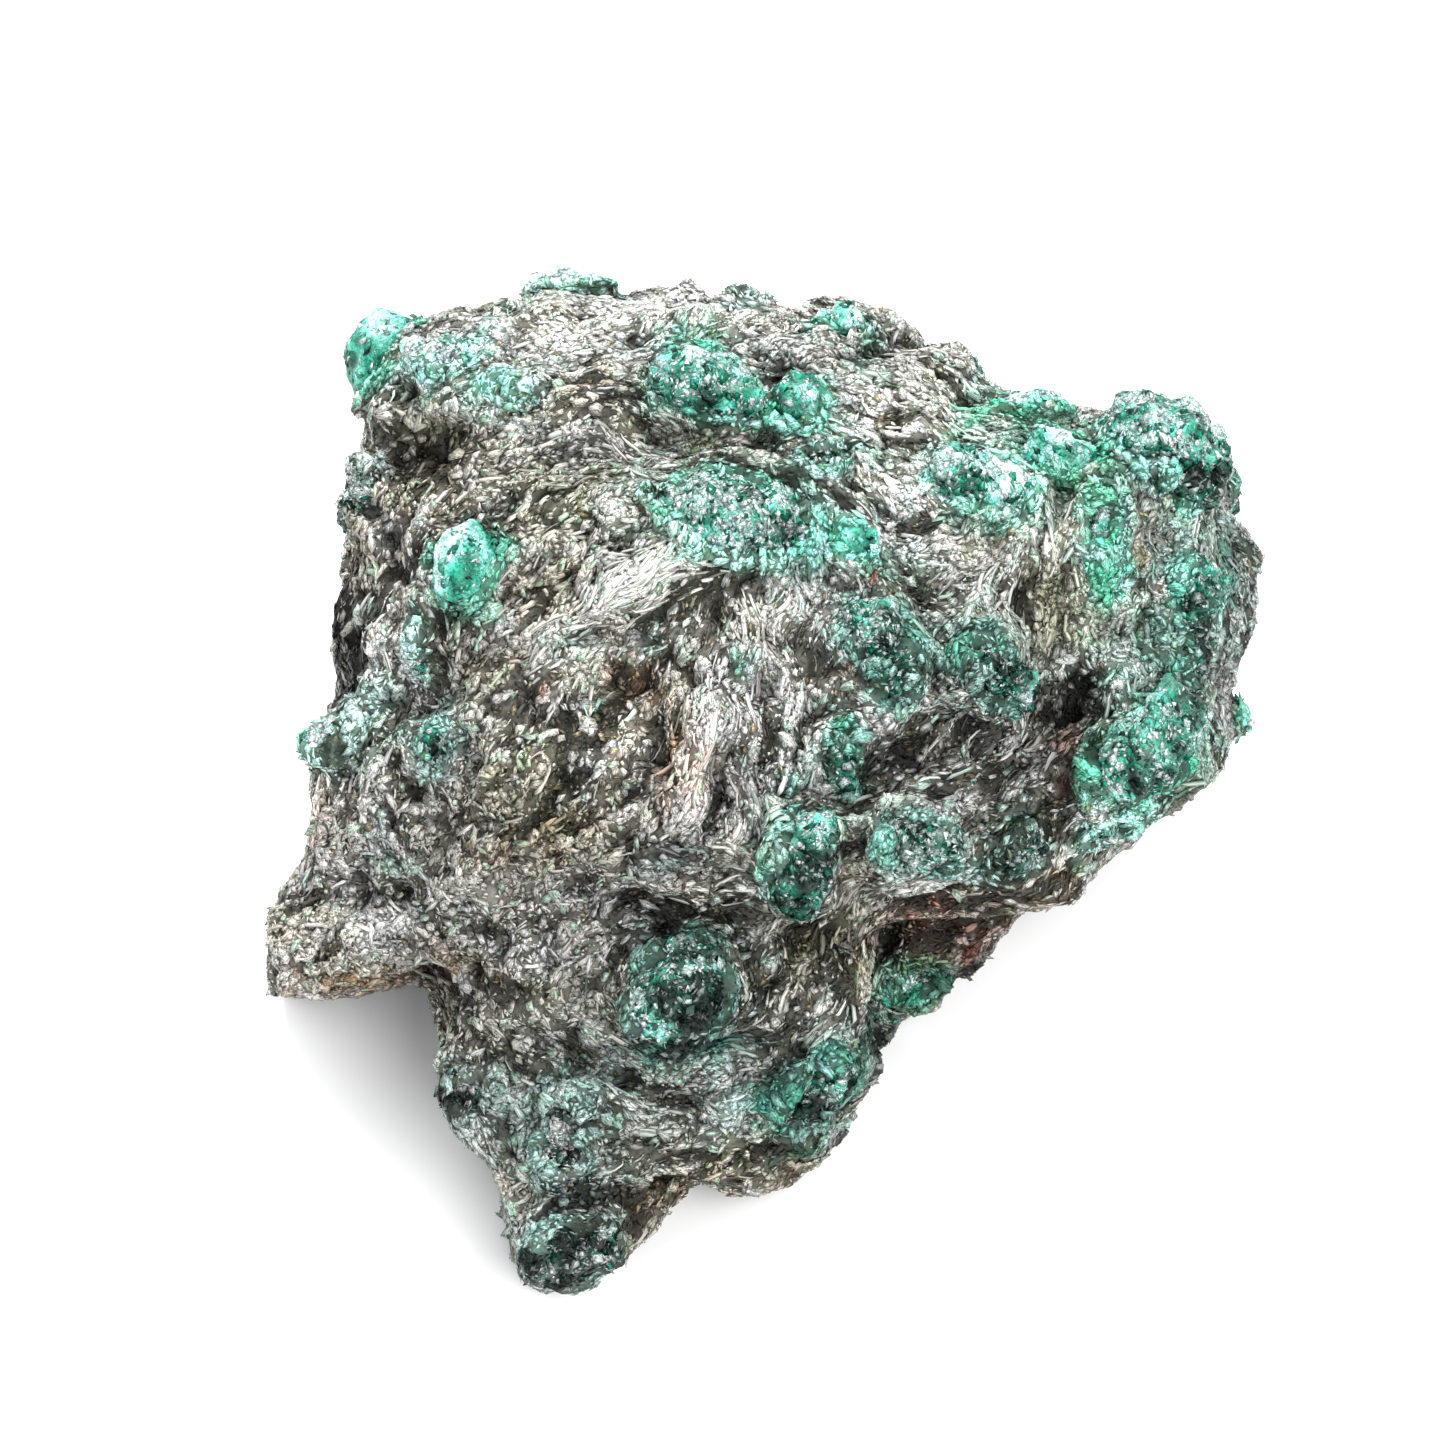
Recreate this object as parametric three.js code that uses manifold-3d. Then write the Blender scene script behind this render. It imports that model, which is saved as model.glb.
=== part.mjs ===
// An emerald specimen: a lump of mica schist with emerald crystals grown in it.
// It lies on its flat underside, with its display face leaning back.
// Millimetres, +Z up, origin on the resting face, under the middle of the bounding box.

import * as THREE from 'three';
import { ImprovedNoise } from 'three/addons/math/ImprovedNoise.js';
import { mergeVertices } from 'three/addons/utils/BufferGeometryUtils.js';
import Module from 'manifold-3d';

// ---- Driving dimensions ------------------------------------------------------------------------

const faceLean = 45; // degrees that the display face leans back from upright
const faceHeight = 34; // height of the display face's middle above the resting face
const seatGap = 0.32; // all round a crystal, between it and its pocket
const originShift = [-3.75, 2.05]; // moves the bounding box's middle over the origin, in X and Y

// The display face's own frame: u to the right, v up the face, w out of it.
const faceToRow = new THREE.Matrix4()
  .makeTranslation(originShift[0], originShift[1], faceHeight)
  .multiply(new THREE.Matrix4().makeRotationX(THREE.MathUtils.degToRad(90 - faceLean)));

// ---- Rock lobes ----------------------------------------------------------------------------------
// Each lobe fills an outline drawn on the display face, as [u, v] points counted clockwise.
// middle is the depth w of its edge, changing by slope for each mm of v. front and back are its
// thickness on either side, and the back thins by backSlope for each mm of v above the centre.
// fullness is low for a blunt lobe and 1 for a round one.

const body = {
  centre: [0.8, -1.8],
  outline: [
    [-31, 40.4], [-28.2, 41.7], [-22.2, 42.4], [-18.7, 44], [-12.2, 43.6], [-8.2, 43.5],
    [-4.2, 45.4], [-0.2, 43.7], [3.8, 41.2], [7.8, 42], [12.8, 42.6], [17.3, 40.6], [20.8, 38.2],
    [23.8, 37.4], [26.8, 33.4], [31.8, 33.8], [34.8, 32.4], [38.8, 31.4], [40.8, 33], [48.6, 33.4],
    [50.6, 30.6], [51.6, 25.7], [52, 22.7], [51.3, 20.7], [53.3, 17.2], [53.6, 12.2], [52.8, 8.2],
    [51, 3.2], [52.4, 0.2], [51.8, -3.8], [49, -8.2], [43.4, -10], [39.4, -12.8], [37.2, -16.6],
    [32.6, -19.2], [25.8, -19.2], [18.8, -19.6], [15, -21.3], [14.6, -26.8], [15.6, -34],
    [12, -39.6], [8.5, -45.4], [1.8, -47.8], [-1.2, -46.8], [-3.4, -45.4], [-4.4, -46.6],
    [-8.2, -51.4], [-12.2, -55.4], [-17.2, -57], [-20.2, -55], [-21.4, -51.3], [-22.2, -47.8],
    [-23, -44.8], [-27.4, -40.6], [-29, -36.4], [-28.4, -32.8], [-28.6, -28.3], [-32.8, -23.4],
    [-37.2, -28.2], [-41.4, -28], [-46.2, -27.6], [-46, -22], [-45.4, -18.3], [-42.2, -14.3],
    [-41.7, -9.8], [-41.2, -6.8], [-41.4, -1.8], [-39.6, 0.6], [-38, 3.4], [-39.7, 6.7],
    [-38.7, 12.2], [-38.2, 18.2], [-38.7, 22.2], [-37.2, 26.2], [-36.4, 30.2], [-36.6, 32.2],
    [-34.8, 36.4],
  ],
  middle: -9,
  slope: -0.28,
  front: 33,
  back: 45,
  backSlope: 0.8,
  fullness: 0.62,
  detail: 12,
};

const undercutSlab = {
  centre: [13, -22],
  outline: [
    [5, -12], [16, -10], [26, -14], [32, -16.4], [32, -18.6], [28.8, -20.3], [24.8, -24.3],
    [20.8, -28.3], [17.3, -29.3], [14.8, -33.8], [8, -38], [0, -34], [-2, -22],
  ],
  middle: -10,
  slope: 0,
  front: 13,
  back: 26,
  backSlope: 0.4,
  fullness: 0.5,
  detail: 4,
};

// Hollows and swellings of the display face: how far each lifts the rock out of the face, over
// an oval of the given half sizes, turned anticlockwise by degrees.
const swellings = [
  { at: [-8, -44], size: [34, 21], turn: 0, lift: -15 }, // the skirt stands back from the crown
  { at: [-42, -20], size: [17, 13], turn: 0, lift: -16 }, // heel
  { at: [-38, 0], size: [12, 12], turn: 0, lift: -7 }, // shelf
  { at: [-15, -54], size: [9, 6], turn: 0, lift: 7 }, // toe
  { at: [-29, 27], size: [7, 5.5], turn: 10, lift: -5 }, // hollow under the left shoulder
  { at: [-27, 35.5], size: [9, 3], turn: -8, lift: 2 },
  { at: [-8, 28], size: [11, 3.2], turn: 5, lift: -3.2 }, // groove under the brow
  { at: [-3, 34], size: [7, 5], turn: 0, lift: 2.2 },
  { at: [1, 20], size: [10, 6], turn: -6, lift: 3.4 }, // swelling of the great oval
  { at: [-8, 15], size: [7, 2.6], turn: 32, lift: 3 }, // lifted mica edge
  { at: [-15, 7], size: [5, 6], turn: 20, lift: -2.6 },
  { at: [-8, 5], size: [3.4, 4], turn: 0, lift: -4.6 }, // open pit
  { at: [-3, -5], size: [2.6, 7], turn: -10, lift: 3 }, // upright rib
  { at: [-12, -4], size: [5, 7], turn: 0, lift: -2 },
  { at: [26, 23], size: [7, 5], turn: -20, lift: 3 },
  { at: [33, 12], size: [4, 9], turn: 0, lift: -2.4 }, // upright trough
  { at: [44, 26], size: [8, 7], turn: 0, lift: 6 }, // right knob
  { at: [33, 1], size: [5, 6], turn: -20, lift: -7 }, // dark hollow on the right
  { at: [22, -4], size: [9, 4], turn: 15, lift: -4.5 },
  { at: [16, 7], size: [5, 6], turn: 0, lift: 3 },
  { at: [26, 5], size: [5, 3.5], turn: 0, lift: 2.6 },
  { at: [42, -3], size: [6, 8], turn: -35, lift: 7 },
  { at: [8, -13], size: [4, 6], turn: 0, lift: 3 },
  { at: [20, -13], size: [10, 4], turn: 0, lift: 6 }, // ledge over the undercut
  { at: [-25, 15], size: [5, 5.5], turn: 0, lift: 3 },
  { at: [-33, 14], size: [4, 9], turn: 0, lift: -2.4 },
  { at: [-3, -19], size: [9, 2.8], turn: -4, lift: -5 }, // groove between crown and skirt
  { at: [9, -22], size: [7, 3], turn: 6, lift: -6 },
  { at: [-4, -26], size: [7, 7], turn: 0, lift: 5 }, // dome of the heart crystal
  { at: [-3, -33.5], size: [11, 2], turn: 4, lift: -2.6 }, // groove under it
  { at: [-3, -39], size: [12, 3], turn: 8, lift: 3 },
  { at: [-14, -46], size: [9, 1.8], turn: 8, lift: -3 }, // crease over the toe
];

const lumpSize = 11; // mm from one random lump to the next
const lumpHeight = 2.2;
const chipSize = 4.6;
const chipHeight = 0.9;

const grain = new ImprovedNoise();

function relief(u, v) {
  let total = 0;
  for (const { at, size, turn, lift } of swellings) {
    const angle = THREE.MathUtils.degToRad(turn);
    const du = u - at[0];
    const dv = v - at[1];
    const along = (du * Math.cos(angle) + dv * Math.sin(angle)) / size[0];
    const across = (dv * Math.cos(angle) - du * Math.sin(angle)) / size[1];
    total += lift * Math.exp(-(along * along + across * across));
  }
  return total;
}

// How far the outline lies from its centre in one direction, by the edge that the ray crosses.
function reachOf({ outline, centre }, direction) {
  let reach = 0;
  outline.forEach((start, i) => {
    const end = outline[(i + 1) % outline.length];
    const from = [start[0] - centre[0], start[1] - centre[1]];
    const edge = [end[0] - start[0], end[1] - start[1]];
    const turn = direction[0] * edge[1] - direction[1] * edge[0];
    const distance = (from[0] * edge[1] - from[1] * edge[0]) / turn;
    const share = (from[0] * direction[1] - from[1] * direction[0]) / turn;
    if (distance > 0 && share >= 0 && share <= 1) reach = Math.max(reach, distance);
  });
  return reach;
}

// A ball stretched to the lobe's outline and thickness, then roughened.
function lobeGeometry(lobe) {
  const geometry = new THREE.IcosahedronGeometry(1, lobe.detail);
  const position = geometry.getAttribute('position');
  const ball = new THREE.Vector3();
  const point = new THREE.Vector3();
  for (let i = 0; i < position.count; i++) {
    ball.fromBufferAttribute(position, i);
    const out = Math.hypot(ball.x, ball.y);
    const reach = out > 1e-6 ? reachOf(lobe, [ball.x / out, ball.y / out]) : 0;
    const u = lobe.centre[0] + reach * ball.x;
    const v = lobe.centre[1] + reach * ball.y;
    const bulge = Math.sign(ball.z) * Math.abs(ball.z) ** lobe.fullness;
    const thickness = ball.z > 0
      ? lobe.front + relief(u, v)
      : lobe.back - lobe.backSlope * (v - lobe.centre[1]);
    point.set(u, v, lobe.middle + lobe.slope * v + thickness * bulge);
    const bump = lumpHeight * grain.noise(point.x / lumpSize, point.y / lumpSize, point.z / lumpSize)
      + chipHeight * grain.noise(point.x / chipSize, point.y / chipSize, point.z / chipSize);
    point.addScaledVector(ball, bump);
    position.setXYZ(i, point.x, point.y, point.z);
  }
  return geometry.applyMatrix4(faceToRow);
}

// ---- Solids --------------------------------------------------------------------------------------

const wasm = await Module();
wasm.setup();

function solidOf(geometry) {
  const bare = geometry.index ? geometry.toNonIndexed() : geometry.clone();
  bare.deleteAttribute('normal');
  bare.deleteAttribute('uv');
  const merged = mergeVertices(bare, 1e-4);
  return new wasm.Manifold(new wasm.Mesh({
    numProp: 3,
    vertProperties: new Float32Array(merged.getAttribute('position').array),
    triVerts: new Uint32Array(merged.index.array),
  }));
}

function geometryOf(solid) {
  const mesh = solid.getMesh();
  const geometry = new THREE.BufferGeometry();
  geometry.setAttribute('position', new THREE.BufferAttribute(mesh.vertProperties, mesh.numProp));
  geometry.setIndex(new THREE.BufferAttribute(mesh.triVerts, 1));
  geometry.computeVertexNormals();
  return geometry;
}

function largestOf(solid) {
  return solid.decompose().reduce((best, piece) => (piece.volume() > best.volume() ? piece : best));
}

// Both lobes as one rock, cut off flat at the resting face.
function rockSolid() {
  const ground = new THREE.BoxGeometry(300, 300, 100).translate(0, 0, -50);
  return solidOf(lobeGeometry(body))
    .add(solidOf(lobeGeometry(undercutSlab)))
    .subtract(solidOf(ground));
}

// ---- Crystals ------------------------------------------------------------------------------------
// How wide a crystal is from one tip to the other, as shares of its width.
const prismRings = [0.66, 1, 0.96, 0.7];
const knobRings = [0.5, 0.9, 1, 0.88, 0.54];

// at is the crystal's middle on the face, size its length, width and height, turn the direction of
// its long axis and pitch the tilt of that axis out of the face. proud is the share of its height
// that stands out of the rock. depth fixes w for a crystal that overhangs the rock's edge.

const faceCrystals = [
  { name: 'corner_knob', at: [-34.4, 36.8], size: [9.6, 8.4, 8.6], turn: 75, depth: -13, rings: knobRings },
  { name: 'left_shoulder', at: [-27.6, 36], size: [8.6, 4.8, 5], turn: -8, proud: 0.45 },
  { name: 'shoulder_bead', at: [-20.6, 32.8], size: [5.2, 3.8, 4], turn: -15, proud: 0.4 },
  { name: 'crown_knob', at: [-15.6, 43.5], size: [7.8, 5.4, 6], turn: -4, depth: -20 },
  { name: 'brow', at: [-1.6, 33.4], size: [10.4, 7.4, 7.6], turn: -22, proud: 0.5, rings: knobRings },
  { name: 'brow_prism', at: [7.6, 31.7], size: [5.6, 4.8, 5.4], turn: 80, proud: 0.55 },
  { name: 'crown_bead', at: [11.6, 40], size: [4.6, 4, 4.6], turn: 20, proud: 0.5 },
  { name: 'cheek_bead', at: [9.8, 25.6], size: [4.8, 3.2, 3.6], turn: 10, proud: 0.45 },
  { name: 'great_oval', at: [1.6, 19.8], size: [16, 9.2, 8], turn: -9, proud: 0.42, rings: knobRings },
  { name: 'bright_bead', at: [12.8, 17.6], size: [4.6, 3.4, 4], turn: 5, proud: 0.5 },
  { name: 'wedge', at: [25.2, 23.6], size: [9.2, 6.6, 7], turn: -30, proud: 0.55 },
  { name: 'ridge', at: [24.6, 34.6], size: [6.8, 4, 5], turn: -38, depth: -18 },
  { name: 'saddle_upper', at: [31.4, 31], size: [6.6, 4, 4.6], turn: 0, proud: 0.5 },
  { name: 'saddle_lower', at: [34, 25.8], size: [8.2, 5.4, 5.6], turn: -25, proud: 0.5 },
  { name: 'right_knob', at: [44.2, 27.4], size: [12.4, 10, 9.8], turn: -35, proud: 0.5, rings: knobRings },
  { name: 'upright_splinter', at: [37.4, 17.6], size: [8.4, 2.8, 3.4], turn: 92, proud: 0.45 },
  { name: 'right_edge', at: [51, 15.6], size: [8.6, 4, 6], turn: 95, depth: -12 },
  { name: 'right_cheek', at: [46.4, 13], size: [6.2, 5.4, 5.4], turn: 60, proud: 0.4 },
  { name: 'right_hip', at: [45.4, 6], size: [5.4, 4.2, 4.6], turn: 30, proud: 0.4 },
  { name: 'mint_slope', at: [41.6, -2.4], size: [12.4, 7.6, 7.4], turn: 52, proud: 0.5 },
  { name: 'spur', at: [50.8, 0.2], size: [4.6, 3.6, 4.4], turn: 10, depth: -9 },
  { name: 'ledge_corner', at: [38, -9.6], size: [7, 4, 4.6], turn: 35, proud: 0.45 },
  { name: 'eye', at: [-25.2, 15.4], size: [7.6, 7, 7.4], turn: 60, proud: 0.55, rings: knobRings },
  { name: 'eye_tail', at: [-29.8, 8.2], size: [7, 3.4, 4], turn: 78, proud: 0.4 },
  { name: 'dark_column', at: [15.6, 7], size: [9.2, 5.8, 6.2], turn: 105, proud: 0.5 },
  { name: 'dark_shelf', at: [26.6, 4.8], size: [8.2, 5, 5.4], turn: -25, proud: 0.45 },
  { name: 'rib_splinter', at: [11.8, -3.4], size: [6.4, 2.6, 3.4], turn: 88, proud: 0.45 },
  { name: 'long_prism', at: [7.8, -13.8], size: [10.2, 5.2, 5.4], turn: 82, proud: 0.55 },
  { name: 'pale_ledge', at: [19.6, -11.8], size: [7.2, 5, 5.2], turn: -12, proud: 0.4 },
  { name: 'teal_ledge', at: [28.4, -12.6], size: [6, 4.4, 4.8], turn: 30, proud: 0.45 },
  { name: 'heart', at: [-4.2, -26.2], size: [11.4, 10, 9.6], turn: 70, proud: 0.5, rings: knobRings },
  { name: 'apron', at: [9, -35.8], size: [8.4, 5.4, 5.6], turn: 38, proud: 0.45 },
  { name: 'apron_edge', at: [8.4, -41.6], size: [7, 3, 4.2], turn: 28, depth: 2 },
  { name: 'undercut_bead', at: [19, -25], size: [4.6, 3.8, 4.4], turn: 40, proud: 0.45 },
  { name: 'toe_cap', at: [-14.8, -52], size: [9.4, 6.4, 7], turn: 14, proud: 0.4 },
  { name: 'shin', at: [-15.2, -40.6], size: [10.6, 5.4, 6], turn: 82, proud: 0.4 },
  { name: 'skirt_bead', at: [-24.6, -36.4], size: [5.6, 4.4, 4.8], turn: 20, proud: 0.4 },
  { name: 'left_shelf', at: [-37, -0.8], size: [8.4, 4.8, 5.2], turn: 38, proud: 0.45 },
  { name: 'shelf_bead', at: [-28.4, -1.8], size: [4.2, 3.6, 4], turn: 70, proud: 0.45 },
  { name: 'left_flank', at: [-36.2, 23], size: [6.4, 2.8, 4.6], turn: 80, proud: 0.5 },
];

// The same for the far side: toward gives the compass bearing and height, in degrees, from which
// the crystal is seen square on, and the rock is met on the way in to its core.
const core = new THREE.Vector3(-3.5, 9.5, 30);
const farCrystals = [
  { name: 'back_knob', toward: [158, 14], size: [10.6, 8, 8], turn: 20, proud: 0.5, rings: knobRings },
  { name: 'back_column', toward: [184, 4], size: [12, 5.6, 6], turn: 70, proud: 0.45 },
  { name: 'back_oval', toward: [210, 4], size: [11, 7, 7], turn: -20, proud: 0.45, rings: knobRings },
  { name: 'back_bead', toward: [176, 36], size: [5.4, 4.2, 4.6], turn: 40, proud: 0.5 },
  { name: 'back_low', toward: [160, -14], size: [7.4, 5.4, 5.6], turn: 10, proud: 0.45 },
  { name: 'left_back', toward: [232, -2], size: [8.4, 6, 6.4], turn: 60, proud: 0.45 },
  { name: 'right_back', toward: [118, 2], size: [9, 6, 6.4], turn: 110, proud: 0.45 },
];

const wear = 0.09; // unevenness of a worn face, as a share of the crystal's width

// A six-sided prism with worn ends, its long axis along X and its height along Z. Each side of
// it moves out by grow.
function prismGeometry({ size, rings = prismRings }, seed, grow = 0) {
  const [length, width, height] = size;
  const geometry = new THREE.CylinderGeometry(1, 1, 1, 6, rings.length - 1);
  const position = geometry.getAttribute('position');
  for (let i = 0; i < position.count; i++) {
    const along = position.getY(i);
    const ring = rings[Math.round((along + 0.5) * (rings.length - 1))];
    const x = position.getX(i) * ring;
    const z = position.getZ(i) * ring;
    const worn = 1 + 2 * wear * grain.noise(2.1 * x + seed, 2.7 * along + 7 * seed, 2.1 * z - seed);
    position.setXYZ(
      i,
      along * (length * worn + 2 * grow),
      z * (width / 2 * worn + grow),
      x * (height / 2 * worn + grow),
    );
  }
  return geometry;
}

function meetRock(surface, from, direction) {
  const ray = new THREE.Raycaster(from, direction.clone().normalize());
  return ray.intersectObject(surface)[0].point;
}

// Where a crystal sits: Z out of the rock, X along the prism's long axis.
function seatOf(crystal, surface) {
  const seat = new THREE.Matrix4();
  if (crystal.at) {
    const [u, v] = crystal.at;
    seat.makeTranslation(u, v, 0);
    if (crystal.depth === undefined) {
      const from = new THREE.Vector3(u, v, 150).applyMatrix4(faceToRow);
      const inward = new THREE.Vector3(0, 0, -1).transformDirection(faceToRow);
      const met = meetRock(surface, from, inward).applyMatrix4(faceToRow.clone().invert());
      seat.makeTranslation(u, v, met.z + crystal.size[2] * (crystal.proud - 0.5));
    } else {
      seat.makeTranslation(u, v, crystal.depth);
    }
    seat.premultiply(faceToRow);
  } else {
    const [bearing, height] = crystal.toward.map(THREE.MathUtils.degToRad);
    const outward = new THREE.Vector3(
      Math.sin(bearing) * Math.cos(height),
      -Math.cos(bearing) * Math.cos(height),
      Math.sin(height),
    );
    const from = core.clone().addScaledVector(outward, 150);
    const met = meetRock(surface, from, outward.clone().negate());
    met.addScaledVector(outward, crystal.size[2] * (crystal.proud - 0.5));
    const side = new THREE.Vector3(0, 0, 1).cross(outward).normalize();
    seat.makeBasis(side, outward.clone().cross(side), outward).setPosition(met);
  }
  return seat.multiply(new THREE.Matrix4().makeRotationZ(THREE.MathUtils.degToRad(crystal.turn)));
}

const rockMaterial = new THREE.MeshStandardMaterial({ color: 0x93958e, roughness: 0.5 });
const emeraldMaterial = new THREE.MeshStandardMaterial({ color: 0x2f9a78, roughness: 0.3 });

export const specimen = new THREE.Group();

let rock = rockSolid();
const bareRock = new THREE.Mesh(geometryOf(rock), rockMaterial);

[...faceCrystals, ...farCrystals].forEach((crystal, i) => {
  const seat = seatOf(crystal, bareRock);
  const emerald = new THREE.Mesh(prismGeometry(crystal, i), emeraldMaterial);
  emerald.name = `emerald_${crystal.name}`;
  emerald.applyMatrix4(seat);
  specimen.add(emerald);
  const pocket = prismGeometry(crystal, i, seatGap).applyMatrix4(seat);
  rock = rock.subtract(solidOf(pocket));
});

const matrix = new THREE.Mesh(geometryOf(largestOf(rock)), rockMaterial);
matrix.name = 'schist_matrix';
specimen.add(matrix);

export default specimen;
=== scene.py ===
import math

import bpy
import numpy as np
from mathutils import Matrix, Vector, noise
from mathutils.bvhtree import BVHTree
from mathutils.kdtree import KDTree


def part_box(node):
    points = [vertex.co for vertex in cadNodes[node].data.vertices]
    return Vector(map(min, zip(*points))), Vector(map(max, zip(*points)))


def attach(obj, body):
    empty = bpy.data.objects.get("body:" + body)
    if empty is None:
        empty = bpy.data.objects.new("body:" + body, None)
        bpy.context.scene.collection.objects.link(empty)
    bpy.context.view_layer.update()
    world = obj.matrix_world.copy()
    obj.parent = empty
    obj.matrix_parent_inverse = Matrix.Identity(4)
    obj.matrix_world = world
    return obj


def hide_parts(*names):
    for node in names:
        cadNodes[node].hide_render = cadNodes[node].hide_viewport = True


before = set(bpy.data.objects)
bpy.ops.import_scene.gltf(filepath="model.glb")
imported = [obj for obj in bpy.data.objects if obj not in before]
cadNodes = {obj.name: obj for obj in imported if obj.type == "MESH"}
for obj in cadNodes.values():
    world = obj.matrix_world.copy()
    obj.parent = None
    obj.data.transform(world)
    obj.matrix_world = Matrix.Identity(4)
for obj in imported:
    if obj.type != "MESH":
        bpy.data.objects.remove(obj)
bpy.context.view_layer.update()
crystalNames = sorted(name for name in cadNodes if name.startswith("emerald_"))
mm = 0.001

# the display face's own frame, in mm: u to the right, v up the face, w out of it
face = {"lean": 45.0, "height": 34.0, "shift": (-3.75, 2.05)}


def toFace(points):
    lean = math.radians(face["lean"])
    x = points[:, 0] - face["shift"][0]
    y = points[:, 1] - face["shift"][1]
    z = points[:, 2] - face["height"]
    up = y * math.sin(lean) + z * math.cos(lean)
    out = z * math.sin(lean) - y * math.cos(lean)
    return np.stack([x, up, out], 1)


def fromFaceDirection(u, v, w):
    lean = math.radians(face["lean"])
    y = v * math.sin(lean) - w * math.cos(lean)
    z = v * math.cos(lean) + w * math.sin(lean)
    return np.stack([u, y, z], -1)


def fromFacePoint(u, v, w):
    offset = np.array([face["shift"][0], face["shift"][1], face["height"]])
    return fromFaceDirection(np.array(u), np.array(v), np.array(w)) + offset


outward = fromFaceDirection(np.array(0.0), np.array(0.0), np.array(1.0))
# how far each kind of mark reaches round behind the display face: slope over depth, and level at w = 0
fades = {"strokes": (0.08, 0.6), "stains": (0.1, 1.6), "bulges": (0.1, 2.6)}


def fadeBehind(place, kind):
    slope, level = fades[kind]
    return np.clip(place[:, 2] * slope + level, 0, 1)


camera = {"distance": 900.0, "frameWidth": 144.5, "sensor": 36.0, "near": 0.05, "far": 20}
studio = {
    "floorTone": (0.86, 0.86, 0.85), "floorRough": 0.9, "floorSize": 6, "sky": (0.95, 0.97, 1.0),
    "skyStrength": 1.49, "keyPlace": (-60, 400, 620), "keySize": 300, "keyPower": 8.5,
    "keyTone": (1.0, 0.985, 0.96), "fillPlace": (260, -520, 420), "fillSize": 500, "fillPower": 6.0,
    "fillTone": (1, 1, 1),
}


def areaLight(name, place, target, size, power, tone):
    light = bpy.data.lights.new(name, "AREA")
    light.shape = "DISK"
    light.size = size * mm
    light.energy = power
    light.color = tone
    lamp = bpy.data.objects.new(name, light)
    bpy.context.scene.collection.objects.link(lamp)
    lamp.location = Vector(place) * mm
    lamp.rotation_euler = (Vector(target) - Vector(place)).to_track_quat("-Z", "Y").to_euler()


def setStudio():
    target = fromFacePoint(0.0, 0.0, 0.0)
    eye = fromFacePoint(0.0, 0.0, camera["distance"])
    data = bpy.data.cameras.new("camera")
    data.sensor_width = camera["sensor"]
    data.lens = camera["sensor"] * camera["distance"] / camera["frameWidth"]
    data.clip_start = camera["near"]
    data.clip_end = camera["far"]
    eyePiece = bpy.data.objects.new("camera", data)
    bpy.context.scene.collection.objects.link(eyePiece)
    eyePiece.location = Vector(eye) * mm
    eyePiece.rotation_euler = (Vector(target) - Vector(eye)).to_track_quat("-Z", "Y").to_euler()
    bpy.context.scene.camera = eyePiece

    bpy.ops.object.select_all(action="DESELECT")
    bpy.ops.mesh.primitive_plane_add(size=studio["floorSize"], location=(0, 0, 0))
    floor = bpy.context.object
    floor.name = "floor"
    paint = bpy.data.materials.new("paleFloor")
    paint.use_nodes = True
    shader = paint.node_tree.nodes["Principled BSDF"]
    shader.inputs["Base Color"].default_value = (*studio["floorTone"], 1)
    shader.inputs["Roughness"].default_value = studio["floorRough"]
    floor.data.materials.append(paint)

    world = bpy.data.worlds.new("studio")
    world.use_nodes = True
    sky = world.node_tree.nodes["Background"]
    sky.inputs["Color"].default_value = (*studio["sky"], 1)
    sky.inputs["Strength"].default_value = studio["skyStrength"]
    bpy.context.scene.world = world
    for part in ("key", "fill"):
        place, size, power, tone = [studio[part + word] for word in ("Place", "Size", "Power", "Tone")]
        areaLight(part + "Light", place, target, size, power, tone)
    bpy.context.scene.view_settings.view_transform = "Standard"


def selectOnly(piece):
    bpy.ops.object.select_all(action="DESELECT")
    piece.select_set(True)
    bpy.context.view_layer.objects.active = piece


def copyOfNode(name, newName):
    piece = cadNodes[name].copy()
    piece.data = cadNodes[name].data.copy()
    piece.data.materials.clear()
    piece.name = newName
    piece.data.name = newName
    piece.parent = None
    for key in list(piece.keys()):
        del piece[key]
    bpy.context.scene.collection.objects.link(piece)
    selectOnly(piece)
    bpy.ops.object.mode_set(mode="EDIT")
    bpy.ops.mesh.select_all(action="SELECT")
    bpy.ops.mesh.remove_doubles(threshold=0.00001)
    bpy.ops.object.mode_set(mode="OBJECT")
    return piece


def applyModifier(piece, kind, **settings):
    selectOnly(piece)
    modifier = piece.modifiers.new(kind.lower(), kind)
    for key, value in settings.items():
        setattr(modifier, key, value)
    bpy.ops.object.modifier_apply(modifier=modifier.name)


def readOut(items, key, width, kind=float):
    values = np.zeros(len(items) * width, kind)
    items.foreach_get(key, values)
    return values.reshape(-1, width)


def pointsOf(piece):
    return readOut(piece.data.vertices, "co", 3) / mm


def normalsOf(piece):
    return readOut(piece.data.vertices, "normal", 3)


def edgesOf(piece):
    return readOut(piece.data.edges, "vertices", 2, int)


def trianglesOf(piece):
    piece.data.calc_loop_triangles()
    return readOut(piece.data.loop_triangles, "vertices", 3, int)


def setPoints(piece, points):
    piece.data.vertices.foreach_set("co", (points * mm).ravel())
    piece.data.update()


def unit(vectors):
    return vectors / (np.linalg.norm(vectors, axis=-1, keepdims=True) + 1e-9)


# smooth noise over a size in mm, where the last number picks one cloud from many
def cloud(points, size, seed):
    shift = Vector((seed, seed * 1.7, -seed))
    return np.array([noise.noise(Vector(p) / size + shift) for p in points])


# a value at each point, averaged with its neighbours
def evenOut(values, edges, rounds):
    count = len(values)
    shares = np.bincount(edges.ravel(), minlength=count) + 1.0
    for _ in range(rounds):
        total = np.bincount(edges[:, 0], values[edges[:, 1]], count)
        total += np.bincount(edges[:, 1], values[edges[:, 0]], count)
        values = (values + total) / shares
    return values


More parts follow.
